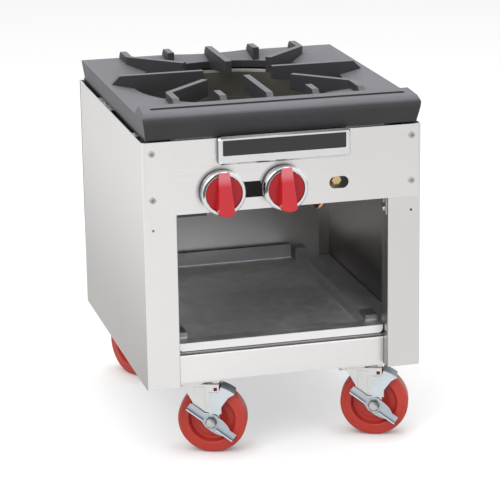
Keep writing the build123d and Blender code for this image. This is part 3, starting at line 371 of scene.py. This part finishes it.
def zinc_sheet(finish, base):
    """The colour of zinc-coated sheet, with flat crystal spangles and a dull film."""
    cells = {"Vector": finish.place, "Scale": 75.0}
    spangle = finish.node("ShaderNodeTexVoronoi", {"feature": "F1"}, cells, "Color")
    grey = finish.node("ShaderNodeRGBToBW", {}, {"Color": spangle})
    film = finish.noise(9.0, 4.0)
    finish.feed("Roughness", 0.3 + grey * 0.12 + film * 0.16)
    finish.bump(finish.noise(160.0, 2.0), 0.08, 0.0002)
    return finish.mix(grey * 0.4 + film * 0.6, shade(base, 0.76), shade(base, 1.16))


def galvanised(name, base):
    """Plain zinc-coated sheet."""
    finish = Finish(name, base, 0.42, metallic=0.9)
    finish.feed("Base Color", zinc_sheet(finish, base))
    return finish.material


def tray_sheet(name, base, lip):
    """The tray: a water-marked floor with a darker middle, painted shade on its walls and a painted highlight on
    its front lip.
    """
    finish = Finish(name, base, 0.42, metallic=0.9)
    low, high = extent("drip_tray")
    depth, height = finish.axis(1), finish.axis(2)
    wander = finish.noise(11.0, 5.0)

    middle_start, middle_end, left_start, left_end = 0.055, 0.075, -0.12, -0.1
    middle = 1.0 - finish.span(depth + (wander - 0.5) * 0.03, middle_start, middle_end)
    middle = middle * finish.span(finish.axis(0) + (wander - 0.5) * 0.12, left_start, left_end)
    colour = finish.dim(zinc_sheet(finish, base), middle, 0.88)
    marks = finish.span(wander, 0.5, 0.56) * (1.0 - middle)
    water_mark = (0.6, 0.6, 0.5)
    colour = finish.mix(marks * 0.35, colour, water_mark)

    # Painted shade on the walls, deeper on the rear wall and on the front corner plates, and a painted highlight on
    # the front lip.
    floor_top, wall_foot = low.z + 2.0 * MM, low.z + 4.0 * MM
    wall = finish.span(height, floor_top, wall_foot)
    colour = finish.dim(colour, wall, 0.75)
    rear = finish.span(depth, high.y - 32.0 * MM, high.y - 28.0 * MM)
    colour = finish.dim(colour, wall * rear, 0.52)
    corner = finish.span(height, high.z - 8.0 * MM, high.z - 6.0 * MM)
    front = 1.0 - finish.span(depth, low.y + 55.0 * MM, low.y + 70.0 * MM)
    colour = finish.dim(colour, corner * front, 0.45)
    edge = 1.0 - finish.span(depth, low.y + 1.5 * MM, low.y + 2.5 * MM)
    finish.feed("Base Color", finish.mix(edge, colour, lip))
    return finish.material


def burnt(name):
    """The shroud's sheet: sooty brown where the flames reach it and clean at its upper edge."""
    black, brown, clean = (0.07, 0.067, 0.055), (0.2, 0.19, 0.16), (0.62, 0.6, 0.52)
    finish = Finish(name, (0.05, 0.045, 0.035), 0.5, metallic=0.6)
    top = extent("burner_shroud")[1].z
    soot_top, clean_foot = top - 5.2 * MM, top - 4.2 * MM
    soot = finish.noise(18.0, 4.0)
    height = finish.span(finish.axis(2) + (soot - 0.5) * 1.5 * MM, soot_top, clean_foot)
    finish.feed("Base Color", finish.mix(height, finish.mix(soot, black, brown), clean))
    finish.feed("Roughness", 0.35 + soot * 0.3)
    return finish.material


def cast(name, base, roughness, grit=0.5, sheen_tint=None):
    """Sand-cast iron, pitted and uneven in tone. With a sheen tint it gets a painted sheen on the faces that look
    up and on the side faces at its two ends.
    """
    finish = Finish(name, base, roughness, metallic=0.0, specular=0.4)
    grain = finish.noise(650.0, 4.0, rough=0.6)
    tone = finish.noise(14.0, 4.0)
    colour = finish.mix(tone, shade(base, 0.72), shade(base, 1.35))
    if sheen_tint:
        # Painted sheen: paler iron on faces that look up and on the side faces at the grate's two ends.
        normal = finish.node("ShaderNodeNewGeometry", {}, {}, "Normal")
        rise = finish.node("ShaderNodeSeparateXYZ", {}, {"Vector": normal}, 2)
        sideways = abs(finish.node("ShaderNodeSeparateXYZ", {}, {"Vector": normal}, 0))
        sheen_colour = finish.mix(tone, shade(sheen_tint, 0.8), shade(sheen_tint, 1.2))
        colour = finish.mix(finish.span(rise, 0.35, 0.95), colour, sheen_colour)
        side = extent("grate")[1].x
        inner, outer, end_sheen = side - 14.0 * MM, side - 9.0 * MM, 0.7
        end = finish.span(abs(finish.axis(0)), inner, outer)
        colour = finish.mix(end * finish.span(sideways, 0.6, 0.95) * end_sheen, colour, sheen_colour)
    finish.feed("Base Color", colour)
    finish.feed("Roughness", roughness - 0.08 + tone * 0.2)
    finish.bump(grain + tone * 0.4, grit, 0.0006)
    return finish.material


def plated(name, base, roughness, *shadows):
    """Bright plating with a cloudy sheen, fine tumbling marks and the painted reflections passed to it."""
    finish = Finish(name, base, roughness, metallic=1.0)
    clouds = finish.noise(40.0, 3.0)
    marks = finish.noise(420.0, 2.0)
    colour = finish.mix(clouds, shade(base, 0.9), shade(base, 1.08))
    for shadow in shadows:
        colour = finish.dim(colour, *shadow(finish))
    finish.feed("Base Color", colour)
    finish.feed("Roughness", roughness + (clouds - 0.5) * 0.2)
    finish.bump(marks, 0.1, 0.0001)
    return finish.material


def moulded(name, base, roughness, coat):
    """Coloured plastic with the faint orange peel of its mould."""
    finish = Finish(name, base, roughness, coat=coat)
    peel = finish.noise(260.0, 2.0)
    tone = finish.noise(25.0, 3.0)
    finish.feed("Base Color", finish.mix(tone, shade(base, 0.88), shade(base, 1.1)))
    finish.feed("Roughness", roughness + (tone - 0.5) * 0.16)
    finish.bump(peel, 0.06, 0.0002)
    return finish.material


def axle_plate(corner, base):
    """An axle bolt: bright, with a painted dark ring round the rim of its head and painted shade on the head's
    upper side.
    """
    finish = Finish(corner + "_axle_plate", base, 0.22, metallic=1.0)
    axle, heading, across = caster_place(corner)
    rim = finish.span(finish.around(axle, across), 7.0 * MM, 8.2 * MM)
    upper = finish.along(axle, heading + UP)
    colour = finish.mix(finish.noise(40.0, 3.0), shade(base, 0.7), shade(base, 0.95))
    # Painted shade on the upper side of the head, and a painted dark ring round its rim.
    colour = finish.dim(colour, finish.span(upper, 1.0 * MM, 8.0 * MM), 0.4)
    finish.feed("Base Color", finish.dim(colour, rim, 0.2))
    return finish.material


def pedal_plate(corner, base):
    """A brake pedal: pale blue plating with a painted line of dark-blue reflection and shade inside its turned-up
    flange.
    """
    finish = Finish(corner + "_pedal_plate", base, 0.3, metallic=0.7)
    axle, _, across = caster_place(corner)
    rim = reach(corner + "_brake_pedal", axle, across)
    height = abs(finish.along(axle, across))
    # Painted dark-blue reflection and shade on the inner face of the flange.
    line = finish.span(height, rim - 6.2 * MM, rim - 5.6 * MM)
    line = line * (1.0 - finish.span(height, rim - 1.2 * MM, rim - 0.6 * MM))
    mirrored_dark_blue = (0.06, 0.12, 0.2)
    colour = finish.mix(finish.noise(40.0, 3.0), shade(base, 0.9), shade(base, 1.06))
    finish.feed("Base Color", finish.dim(colour, line, mirrored_dark_blue))
    return finish.material


def shoe_plate(corner, base):
    """A brake shoe: pale blue plating, and a greyer tab over the tread."""
    finish = Finish(corner + "_shoe_plate", base, 0.4, metallic=0.4, specular=0.3)
    axle, _, across = caster_place(corner)
    face = reach(corner + "_brake_shoe", axle, across)
    tab = 1.0 - finish.span(abs(finish.along(axle, across)), face - 1.8 * MM, face - 1.2 * MM)
    grey = (0.45, 0.47, 0.48)
    colour = finish.mix(finish.noise(40.0, 3.0), shade(base, 0.9), shade(base, 1.06))
    finish.feed("Base Color", finish.dim(colour, tab, grey))
    return finish.material


def knob_plastic(name, base):
    """A knob's glossy red, deeper on the disc, and a painted pale highlight at the top of its handle."""
    finish = Finish(name, base, 0.24, coat=0.4, specular=0.4)
    high = extent("left_knob")[1]
    highlight_pink, deep_red = (0.85, 0.4, 0.45), (0.43, 0.004, 0.011)
    disc = finish.span(finish.axis(1), high.y - 11.6 * MM, high.y - 10.8 * MM)
    # Painted highlight: paler pink towards the top of the handle.
    crown = finish.span(finish.axis(2), high.z - 24.0 * MM, high.z - 8.0 * MM) * (1.0 - disc)
    tone = finish.noise(25.0, 3.0)
    colour = finish.mix(tone, shade(base, 0.92), shade(base, 1.08))
    colour = finish.mix(crown * 0.4, colour, highlight_pink)
    finish.feed("Base Color", finish.mix(disc, colour, deep_red))
    finish.feed("Coat Weight", (1.0 - disc) * 0.4)
    finish.bump(finish.noise(260.0, 2.0), 0.05, 0.0002)
    return finish.material


def make_finishes(tints):
    """Every finish of the range by its short name."""
    chrome, bolt_steel, pipe_black = (0.8, 0.8, 0.81), (0.78, 0.78, 0.77), (0.03, 0.03, 0.032)
    painted_halos = (painted_bezel_halo("left"), painted_bezel_halo("right"))
    return {
        "panel": brushed("panel_stainless", tints.stainless, 0.3, painted_shade_rightward, *painted_halos),
        "rail": brushed("rail_stainless", shade(tints.stainless, 1.06), 0.3, painted_shade_rightward),
        # The side panels take a brighter copy of the stainless: painted light.
        "sides": brushed(
            "side_stainless", shade(tints.stainless, 1.1), 0.33, painted_shade_rightward, stiles, right_stile, painted_shade_downward
        ),
        "back": brushed("back_stainless", tints.stainless, 0.33, painted_inner_back_shade, painted_upper_back_shade, painted_burner_shade),
        "top_plate": brushed("top_stainless", tints.stainless, 0.35, painted_trough_shade),
        "galvanised": galvanised("galvanised_sheet", tints.galvanised),
        # The inner flange takes a copy of the galvanised sheet at 12 per cent of its brightness: painted shade.
        "strip": galvanised("shaded_strip", shade(tints.galvanised, 0.12)),
        "tray": tray_sheet("tray_sheet", shade(tints.galvanised, 1.45), shade(tints.stainless, 1.05)),
        "cast_iron": cast("cast_iron", tints.cast_iron, 0.5, 0.5, tints.sheen_iron),
        "burner_iron": cast("burner_iron", tints.burner_iron, 0.85, 0.5),
        "black_pipe": cast("black_pipe", pipe_black, 0.45, 0.15),
        "brass": plated("brass", (0.72, 0.53, 0.25), 0.3),
        "copper": plated("copper_tube", (0.78, 0.42, 0.26), 0.26),
        "left_chrome": plated("left_bezel_chrome", chrome, 0.09, *painted_bezel_reflections("left")),
        "right_chrome": plated("right_bezel_chrome", chrome, 0.09, *painted_bezel_reflections("right")),
        "plate_chrome": plated("nameplate_chrome", chrome, 0.12, painted_plate_left_reflection, painted_plate_top_reflection),
        "dark_inset": moulded("dark_inset", (0.012, 0.012, 0.014), 0.28, 0.3),
        "knob_red": knob_plastic("knob_red", tints.red),
        "wheel_red": moulded("wheel_red", tints.wheel_red, 0.4, 0.05),
        "zinc": plated("zinc_plate", tints.zinc, 0.3),
        "fastener": plated("fastener_plate", (0.7, 0.7, 0.69), 0.24),
        # Near-black finish for the prisms that stand in for the burner ports and screw recesses: painted shade.
        "port": moulded("port_shadow", (0.006, 0.005, 0.005), 0.8, 0.0),
        "burnt_sheet": burnt("burnt_sheet"),
        "screw": plated("panel_screw", (0.5, 0.46, 0.4), 0.3),
        **{corner + "_axle": axle_plate(corner, bolt_steel) for corner in CORNERS},
        **{corner + "_pedal": pedal_plate(corner, tints.brake_zinc) for corner in PEDAL_CORNERS},
        **{corner + "_shoe": shoe_plate(corner, tints.brake_zinc) for corner in PEDAL_CORNERS},
    }


finishes = {}


# --- Repeats ----------------------------------------------------------------------------------------


class Repeats(Graph):
    """A Geometry Nodes tree that sets one small prism on every place and gives back plain faces."""

    def __init__(self):
        super().__init__(bpy.data.node_groups.new("repeated_prisms", "GeometryNodeTree"))
        kinds = {
            "Places": "NodeSocketGeometry",
            "Sides": "NodeSocketInt",
            "Radius": "NodeSocketFloat",
            "Depth": "NodeSocketFloat",
            "Stretch": "NodeSocketVector",
            "Lean": "NodeSocketVector",
            "Finish": "NodeSocketMaterial",
        }
        sockets = {
            name: self.tree.interface.new_socket(name, in_out="INPUT", socket_type=kind)
            for name, kind in kinds.items()
        }
        self.keys = {name: socket.identifier for name, socket in sockets.items()}
        self.tree.interface.new_socket("Geometry", in_out="OUTPUT", socket_type="NodeSocketGeometry")
        given = {name: self.node("NodeGroupInput", {}, {}, name) for name in kinds}
        sizes = {"Vertices": given["Sides"], "Radius": given["Radius"], "Depth": given["Depth"]}
        prism = self.node("GeometryNodeMeshCylinder", {}, sizes, "Mesh")
        shape = {"Geometry": prism, "Scale": given["Stretch"], "Rotation": given["Lean"]}
        prism = self.node("GeometryNodeTransform", {}, shape)
        number = {"data_type": "FLOAT"}
        spin = self.node("GeometryNodeInputNamedAttribute", number, {"Name": "spin"}, "Attribute")
        turn = self.node("ShaderNodeCombineXYZ", {}, {"Z": spin})
        places = {"Points": given["Places"], "Instance": prism, "Rotation": turn}
        repeated = self.node("GeometryNodeInstanceOnPoints", {}, places)
        plain = self.node("GeometryNodeRealizeInstances", {}, {"Geometry": repeated})
        paint = {"Geometry": plain, "Material": given["Finish"]}
        painted = self.node("GeometryNodeSetMaterial", {}, paint)
        output = self.tree.nodes.new("NodeGroupOutput")
        self.tree.links.new(painted.socket, output.inputs["Geometry"])

    def fill(self, name, places, spins, values):
        """Runs the tree on a set of places and returns the result as a mesh of its own."""
        mesh = bpy.data.meshes.new(name + "_places")
        mesh.from_pydata(places, [], [])
        mesh.attributes.new("spin", "FLOAT", "POINT").data.foreach_set("value", spins)
        carrier = bpy.data.objects.new(name + "_carrier", mesh)
        bpy.context.collection.objects.link(carrier)
        modifier = carrier.modifiers.new("repeat", "NODES")
        modifier.node_group = self.tree
        for key, value in values.items():
            modifier[self.keys[key]] = value
        bpy.context.view_layer.update()
        evaluated = carrier.evaluated_get(bpy.context.evaluated_depsgraph_get())
        made = bpy.data.meshes.new_from_object(evaluated)
        bpy.data.objects.remove(carrier)
        made.name = name
        return made


def repeated(name, places, spins, finish, slot, sides, radius, depth, stretch, lean):
    """One piece of the cabinet that is made of the same small prism at every place."""
    values = {
        "Sides": sides,
        "Radius": radius,
        "Depth": depth,
        "Stretch": stretch,
        "Lean": lean,
        "Finish": finishes[finish],
    }
    return place_piece(name, Repeats().fill(name, places, spins, values), finish, "cabinet")


def ring_places(centre, radius, height, count):
    """Evenly spaced places on a level circle, and the turn of each."""
    turns = [2.0 * pi * index / count for index in range(count)]
    return [(centre[0] + radius * cos(a), centre[1] + radius * sin(a), height) for a in turns], turns


# --- Mesh helpers -------------------------------------------------------------------------------------


def place_piece(name, mesh, finish, body, replaces=()):
    """Adds a finished mesh to the scene, gives it its finish and fixes it to a body."""
    piece = bpy.data.objects.new(name, mesh)
    bpy.context.collection.objects.link(piece)
    if finish:
        mesh.materials.clear()
        mesh.materials.append(finishes[finish])
    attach(piece, body)
    if replaces:
        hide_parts(*replaces)
    return piece


def body_of_node(node):
    for body, nodes in frame["record"]["behaviour"]["bodies"].items():
        if node in nodes:
            return body
    raise RuntimeError(f"no body holds the node {node}")


def extent(node):
    """The two opposite corners of a solid's box."""
    corners = [Vector(corner) for corner in frame["nodes"][node].bound_box]
    return Vector(map(min, zip(*corners))), Vector(map(max, zip(*corners)))


def caster_place(corner):
    """The middle of a caster's axle, and the two level directions along its heading and across it."""
    joints = frame["record"]["behaviour"]["joints"]
    roll = next(joint for joint in joints if joint["name"] == corner + "_roll")
    across = Vector(roll["axis"])
    return Vector(roll["pos_m"]), across.cross(UP), across


def reach(node, origin, direction):
    """How far a solid reaches from the origin, either way along a direction."""
    vertices = frame["nodes"][node].data.vertices
    return max(abs((vertex.co - origin).dot(direction)) for vertex in vertices)


def round_edges(piece, width, segments):
    """A live bevel on a piece's sharper edges."""
    bevel = piece.modifiers.new("edge", "BEVEL")
    bevel.width = width
    bevel.segments = segments
    bevel.limit_method = "ANGLE"
    bevel.harden_normals = True
    return bevel


def solid(name, loops, finish, body, closed=False, edge=0.0):
    """A mesh through loops of equal length: capped at both ends, or closed into a ring."""
    size = len(loops[0])
    verts = [point for loop in loops for point in loop]
    faces = []
    spans = len(loops) if closed else len(loops) - 1
    for step in range(spans):
        here = step * size
        there = (step + 1) % len(loops) * size
        for index in range(size):
            after = (index + 1) % size
            faces.append((here + index, here + after, there + after, there + index))
    if not closed:
        faces.append(tuple(reversed(range(size))))
        faces.append(tuple(range(len(verts) - size, len(verts))))
    mesh = bpy.data.meshes.new(name)
    mesh.from_pydata(verts, [], faces)
    work = bmesh.new()
    work.from_mesh(mesh)
    bmesh.ops.recalc_face_normals(work, faces=work.faces)
    work.to_mesh(mesh)
    work.free()
    mesh.shade_smooth()
    mesh.set_sharp_from_angle(angle=radians(32.0))
    piece = place_piece(name, mesh, finish, body)
    if edge:
        round_edges(piece, edge, 2)
    return piece


def softened(node, finish, edge, segments=2, angle=35.0):
    """A copy of a solid with its edges rounded, which stands for the node."""
    mesh = frame["nodes"][node].data.copy()
    mesh.name = node + "_soft"
    work = bmesh.new()
    work.from_mesh(mesh)
    bmesh.ops.remove_doubles(work, verts=work.verts, dist=WELD)
    bmesh.ops.dissolve_limit(work, angle_limit=FLAT, verts=work.verts, edges=work.edges)
    work.to_mesh(mesh)
    work.free()
    mesh.shade_smooth()
    mesh.set_sharp_from_angle(angle=radians(angle))
    piece = place_piece(node + "_soft", mesh, finish, body_of_node(node), (node,))
    bevel = round_edges(piece, edge, segments)
    bevel.angle_limit = radians(angle)
    bevel.use_clamp_overlap = True
    return piece


# --- Operators ------------------------------------------------------------------------------------------


class RANGE_OT_finishes(bpy.types.Operator):
    """Make every finish of the range"""

    bl_idname = "stock_range.finishes"
    bl_label = "Finishes"

    def execute(self, context):
        finishes.update(make_finishes(context.scene.range_finishes))
        return {"FINISHED"}


class RANGE_OT_cabinet(bpy.types.Operator):
    """Dress the cabinet's sheet metal, the deck, the tray and the shroud"""

    bl_idname = "stock_range.cabinet"
    bl_label = "Cabinet"

    def execute(self, context):
        edge = context.scene.range_sizes.sheet_edge
        for node in ("left_side_panel", "right_side_panel"):
            softened(node, "sides", edge)
        for node in ("base_deck", "burner_bars", "side_clips", "panel_bracket"):
            softened(node, "galvanised", edge)
        others = {
            "rear_panel": "back",
            "control_panel": "panel",
            "lower_rail": "rail",
            "top_plate": "top_plate",
            "drip_tray": "tray",
            "inner_flange": "strip",
            "burner_shroud": "burnt_sheet",
        }
        for node, finish in others.items():
            softened(node, finish, edge)
        for node in ("bracket_screws", "side_screws"):
            softened(node, "fastener", edge)
        return {"FINISHED"}


class RANGE_OT_grate(bpy.types.Operator):
    """Dress the cast grate with rounded casting edges"""

    bl_idname = "stock_range.grate"
    bl_label = "Cast grate"

    def execute(self, context):
        softened("grate", "cast_iron", context.scene.range_sizes.casting_edge, 3, 28.0)
        return {"FINISHED"}


class RANGE_OT_burner(bpy.types.Operator):
    """Dress the burner rings and the gas train"""

    bl_idname = "stock_range.burner"
    bl_label = "Burner and gas train"

    def execute(self, context):
        edge = context.scene.range_sizes.casting_edge
        for node in ("outer_burner", "inner_burner", "pilot_burner"):
            softened(node, "burner_iron", 0.5 * edge)
        for node in ("manifold_pipe", "supply_pipe", "pipe_clamp"):
            softened(node, "black_pipe", 0.3 * edge)
        brass_nodes = (
            "left_valve", "right_valve", "pilot_valve", "orifice_hoods", "left_valve_stem", "right_valve_stem"
        )
        for node in brass_nodes:
            softened(node, "brass", 0.2 * edge)
        softened("pilot_tube", "copper", 0.1 * edge)
        softened("air_shutters", "galvanised", 0.2 * edge)
        self.ports(context.scene.range_sizes)
        return {"FINISHED"}

    def ports(self, sizes):
        """Flame ports on both bevels of the three rings' crowns, made as shallow near-black prisms: painted shade
        in the holes.
        """
        high = extent("outer_burner")[1]
        outer = high.x
        centre = (0.0, high.y - outer)
        rings = (
            ("outer", outer - 13.0 * MM, 26.0 * MM),
            ("middle", 72.0 * MM, 22.0 * MM),
            ("inner", 34.0 * MM, 20.0 * MM),
        )
        sides, depth = 8, 0.3 * MM
        stretch = (sizes.port_length / sizes.port_width, 1.0, 1.0)
        for ring, radius, width in rings:
            bevel = width / 4.0
            height = high.z - bevel / 2.0
            for side in (-1, 1):
                ring_radius = radius + side * (width - bevel) / 2.0
                count = round(2.0 * pi * ring_radius / sizes.port_pitch)
                places, turns = ring_places(centre, ring_radius, height, count)
                name = f"{ring}_ports_{'out' if side > 0 else 'in'}"
                lean = (0.0, side * pi / 4.0, 0.0)
                repeated(
                    name, places, turns, "port", "burner_iron", sides, sizes.port_width / 2.0, depth, stretch, lean
                )


class RANGE_OT_controls(bpy.types.Operator):
    """Dress the nameplate, the knobs, the bezels and the panel screws"""

    bl_idname = "stock_range.controls"
    bl_label = "Controls"

    def execute(self, context):
        sizes = context.scene.range_sizes
        softened("nameplate_frame", "plate_chrome", 0.8 * sizes.moulded_edge, 3)
        softened("nameplate_inset", "dark_inset", 0.3 * sizes.moulded_edge)
        for side in ("left", "right"):
            softened(side + "_bezel", side + "_chrome", 0.5 * sizes.moulded_edge, 3)
            softened(side + "_knob", "knob_red", sizes.moulded_edge, 3)
        softened("panel_screws", "screw", 0.6 * sizes.moulded_edge, 3)
        self.recesses()
        return {"FINISHED"}

    def recesses(self):
        """The dark cross recess in each panel screw, made as shallow near-black bars: painted shade."""
        low, high = extent("panel_screws")
        head, bar, depth, slender = 5.0 * MM, 0.6 * MM, 0.2 * MM, 5.2
        across, sheen_tint = (low.x + head, high.x - head), (low.z + head, high.z - head)
        places = [(x, low.y, z) for x in across for z in sheen_tint]
        level = [0.0] * len(places)
        facing = (pi / 2.0, 0.0, 0.0)
        bars = (("recess_across", (slender, 1.0, 1.0)), ("recess_up", (1.0, slender, 1.0)))
        for name, stretch in bars:
            repeated(name, places, level, "port", "fastener", 4, bar, depth, stretch, facing)


class RANGE_OT_casters(bpy.types.Operator):
    """Dress the casters, their bolts and their brakes"""

    bl_idname = "stock_range.casters"
    bl_label = "Casters"

    def execute(self, context):
        sizes = context.scene.range_sizes
        for corner in CORNERS:
            softened(corner + "_caster_plate", "zinc", sizes.forged_edge)
            softened(corner + "_fork", "zinc", sizes.forged_edge)
            softened(corner + "_axle", corner + "_axle", sizes.forged_edge)
            softened(corner + "_wheel", "wheel_red", 2.0 * sizes.moulded_edge, 3)
            if corner in PEDAL_CORNERS:
                softened(corner + "_brake_pedal", corner + "_pedal", sizes.forged_edge)
                softened(corner + "_brake_shoe", corner + "_shoe", sizes.forged_edge)
            self.wheel_rings(corner)
            self.leg_details(corner)
        softened("caster_bolts", "fastener", sizes.forged_edge)
        return {"FINISHED"}

    def wheel_rings(self, corner):
        """Moulded rings on both faces of the wheel."""
        axle, along, across = caster_place(corner)
        face, floor, sunk, steps_round = 15.5 * MM, 4.5 * MM, 0.2 * MM, 72
        rings = {
            "tread": ((48.4, 49.0, 49.8, 50.4), face, 0.45 * MM),
            "web": ((22.0, 24.5, 29.0, 32.0), floor, 0.7 * MM),
        }
        for ring, (radii, base, rise) in rings.items():
            outline = list(zip(radii, (base - sunk, base + rise, base + rise, base - sunk)))
            for side in (-1, 1):
                loops = []
                for step in range(steps_round):
                    turn = 2.0 * pi * step / steps_round
                    out = cos(turn) * along + sin(turn) * UP
                    loops.append([axle + radius * MM * out + side * offset * across for radius, offset in outline])
                name = f"{corner}_{ring}_{'far' if side > 0 else 'near'}"
                solid(name, loops, "wheel_red", corner + "_wheel", closed=True)

    def leg_details(self, corner):
        """The pressed band on each fork leg."""
        axle, along, across = caster_place(corner)
        leg, sunk, rise, edge = 21.0 * MM, -0.3 * MM, 1.1 * MM, 0.8 * MM
        band = ((-27.0, 58.5), (-10.0, 58.5), (-10.0, 15.5), (-15.0, 19.5), (-27.0, 31.0))
        for side in (-1, 1):
            loops = [
                [axle + x * MM * along + z * MM * UP + side * (leg + depth) * across for x, z in band]
                for depth in (sunk, rise)
            ]
            name = f"{corner}_band_{'far' if side > 0 else 'near'}"
            solid(name, loops, "zinc", corner + "_swivel", edge=edge)


class RANGE_OT_stage(bpy.types.Operator):
    """Lay the pale floor, hang the soft lights and set the camera at the photograph's angle"""

    bl_idname = "stock_range.stage"
    bl_label = "Stage"

    def execute(self, context):
        scene = context.scene
        self.floor()
        self.lights()
        self.world(scene)
        self.camera(scene)
        scene.view_settings.view_transform = "Standard"
        return {"FINISHED"}

    def floor(self):
        """Pale paper that the camera sees as white, apart from soft shadows and contact shadows."""
        mesh = bpy.data.meshes.new("floor")
        half = 12.0
        square = [(-half, -half, 0.0), (half, -half, 0.0), (half, half, 0.0), (-half, half, 0.0)]
        mesh.from_pydata(square, [], [(0, 1, 2, 3)])
        plate = bpy.data.objects.new("floor", mesh)
        bpy.context.collection.objects.link(plate)
        grey, roughness, contact, seen_glow, mirrored_glow = (0.68, 0.68, 0.68), 0.9, 0.045, 0.47, 0.15
        paper = Finish("floor_paper", grey, roughness, specular=0.0)
        seen = paper.node("ShaderNodeLightPath", {}, {}, "Is Camera Ray")
        mirrored = paper.node("ShaderNodeLightPath", {}, {}, "Is Glossy Ray")
        open_air = paper.node("ShaderNodeAmbientOcclusion", {"samples": 8}, {"Distance": contact}, "AO")
        strength = seen * open_air * seen_glow + mirrored * mirrored_glow
        lift = {"Color": (1.0, 1.0, 1.0, 1.0), "Strength": strength}
        glow = paper.node("ShaderNodeEmission", {}, lift, "Emission")
        lit = Field(paper, paper.shader.outputs["BSDF"])
        both = paper.node("ShaderNodeAddShader", {}, {0: lit, 1: glow})
        target = paper.tree.nodes["Material Output"].inputs["Surface"]
        paper.tree.links.new(both.socket, target)
        mesh.materials.append(paper.material)

    def lights(self):
        """Three square lamps that point at the middle of the range: name, place, side and power."""
        middle = Vector((0.0, 0.0, 0.35))
        lamps = (
            ("key", (-2.6, -2.4, 3.2), 3.0, 95.0),
            ("fill", (2.8, -2.6, 2.0), 3.0, 26.0),
            ("top", (0.3, 0.6, 3.6), 2.6, 40.0),
        )
        for name, place, size, power in lamps:
            light = bpy.data.lights.new(name, "AREA")
            light.size = size
            light.energy = power
            lamp = bpy.data.objects.new(name, light)
            lamp.location = place
            lamp.rotation_euler = (middle - Vector(place)).to_track_quat("-Z", "Y").to_euler()
            bpy.context.collection.objects.link(lamp)

    def world(self, scene):
        """An even sky, white where the camera or a mirroring surface sees it."""
        world = bpy.data.worlds.new("studio")
        world.use_nodes = True
        scene.world = world
        graph = Graph(world.node_tree)
        seen = graph.node("ShaderNodeLightPath", {}, {}, "Is Camera Ray")
        mirrored = graph.node("ShaderNodeLightPath", {}, {}, "Is Glossy Ray")
        dim, lift = 0.55, 0.45
        background = world.node_tree.nodes["Background"]
        background.inputs["Color"].default_value = (1.0, 1.0, 1.0, 1.0)
        strength = dim + lift * (seen + mirrored)
        world.node_tree.links.new(strength.socket, background.inputs["Strength"])

    def camera(self, scene):
        """The camera that was fitted to the photograph: angles in radians, place in metres."""
        azimuth, elevation, roll = -0.25567, 0.28143, 0.0144
        place, focal_length, sensor_width = Vector((-0.92052, -3.55917, 1.33936)), 161.262, 36.0
        back = Vector((sin(azimuth) * cos(elevation), -cos(azimuth) * cos(elevation), sin(elevation)))
        right = Vector((cos(azimuth), sin(azimuth), 0.0))
        up = back.cross(right)
        turned_right = cos(roll) * right - sin(roll) * up
        turned_up = sin(roll) * right + cos(roll) * up
        matrix = Matrix((turned_right, turned_up, back)).transposed().to_4x4()
        matrix.translation = place
        lens = bpy.data.cameras.new("camera")
        lens.sensor_width = sensor_width
        lens.lens = focal_length
        camera = bpy.data.objects.new("camera", lens)
        camera.matrix_world = matrix
        bpy.context.collection.objects.link(camera)
        scene.camera = camera


class RANGE_PT_sidebar(bpy.types.Panel):
    """Lists the steps that dress the range"""

    bl_idname = "RANGE_PT_sidebar"
    bl_label = "Stock Pot Range"
    bl_space_type = "VIEW_3D"
    bl_region_type = "UI"
    bl_category = "Range"

    def draw(self, context):
        for step in steps:
            self.layout.operator(step.bl_idname)
        for group in (context.scene.range_sizes, context.scene.range_finishes):
            column = self.layout.column()
            for name in group.__annotations__:
                column.prop(group, name)


steps = (
    RANGE_OT_finishes,
    RANGE_OT_cabinet,
    RANGE_OT_grate,
    RANGE_OT_burner,
    RANGE_OT_controls,
    RANGE_OT_casters,
    RANGE_OT_stage,
)
classes = (RangeSizes, RangeFinishes, *steps, RANGE_PT_sidebar)


def register():
    for added in classes:
        bpy.utils.register_class(added)
    bpy.types.Scene.range_sizes = PointerProperty(type=RangeSizes)
    bpy.types.Scene.range_finishes = PointerProperty(type=RangeFinishes)


def unregister():
    del bpy.types.Scene.range_finishes
    del bpy.types.Scene.range_sizes
    for added in reversed(classes):
        bpy.utils.unregister_class(added)


def main():
    register()
    for step in steps:
        group, action = step.bl_idname.split(".")
        result = getattr(getattr(bpy.ops, group), action)()
        if result != {"FINISHED"}:
            raise RuntimeError(f"{step.bl_label} did not finish")


if __name__ == "__main__":
    main()
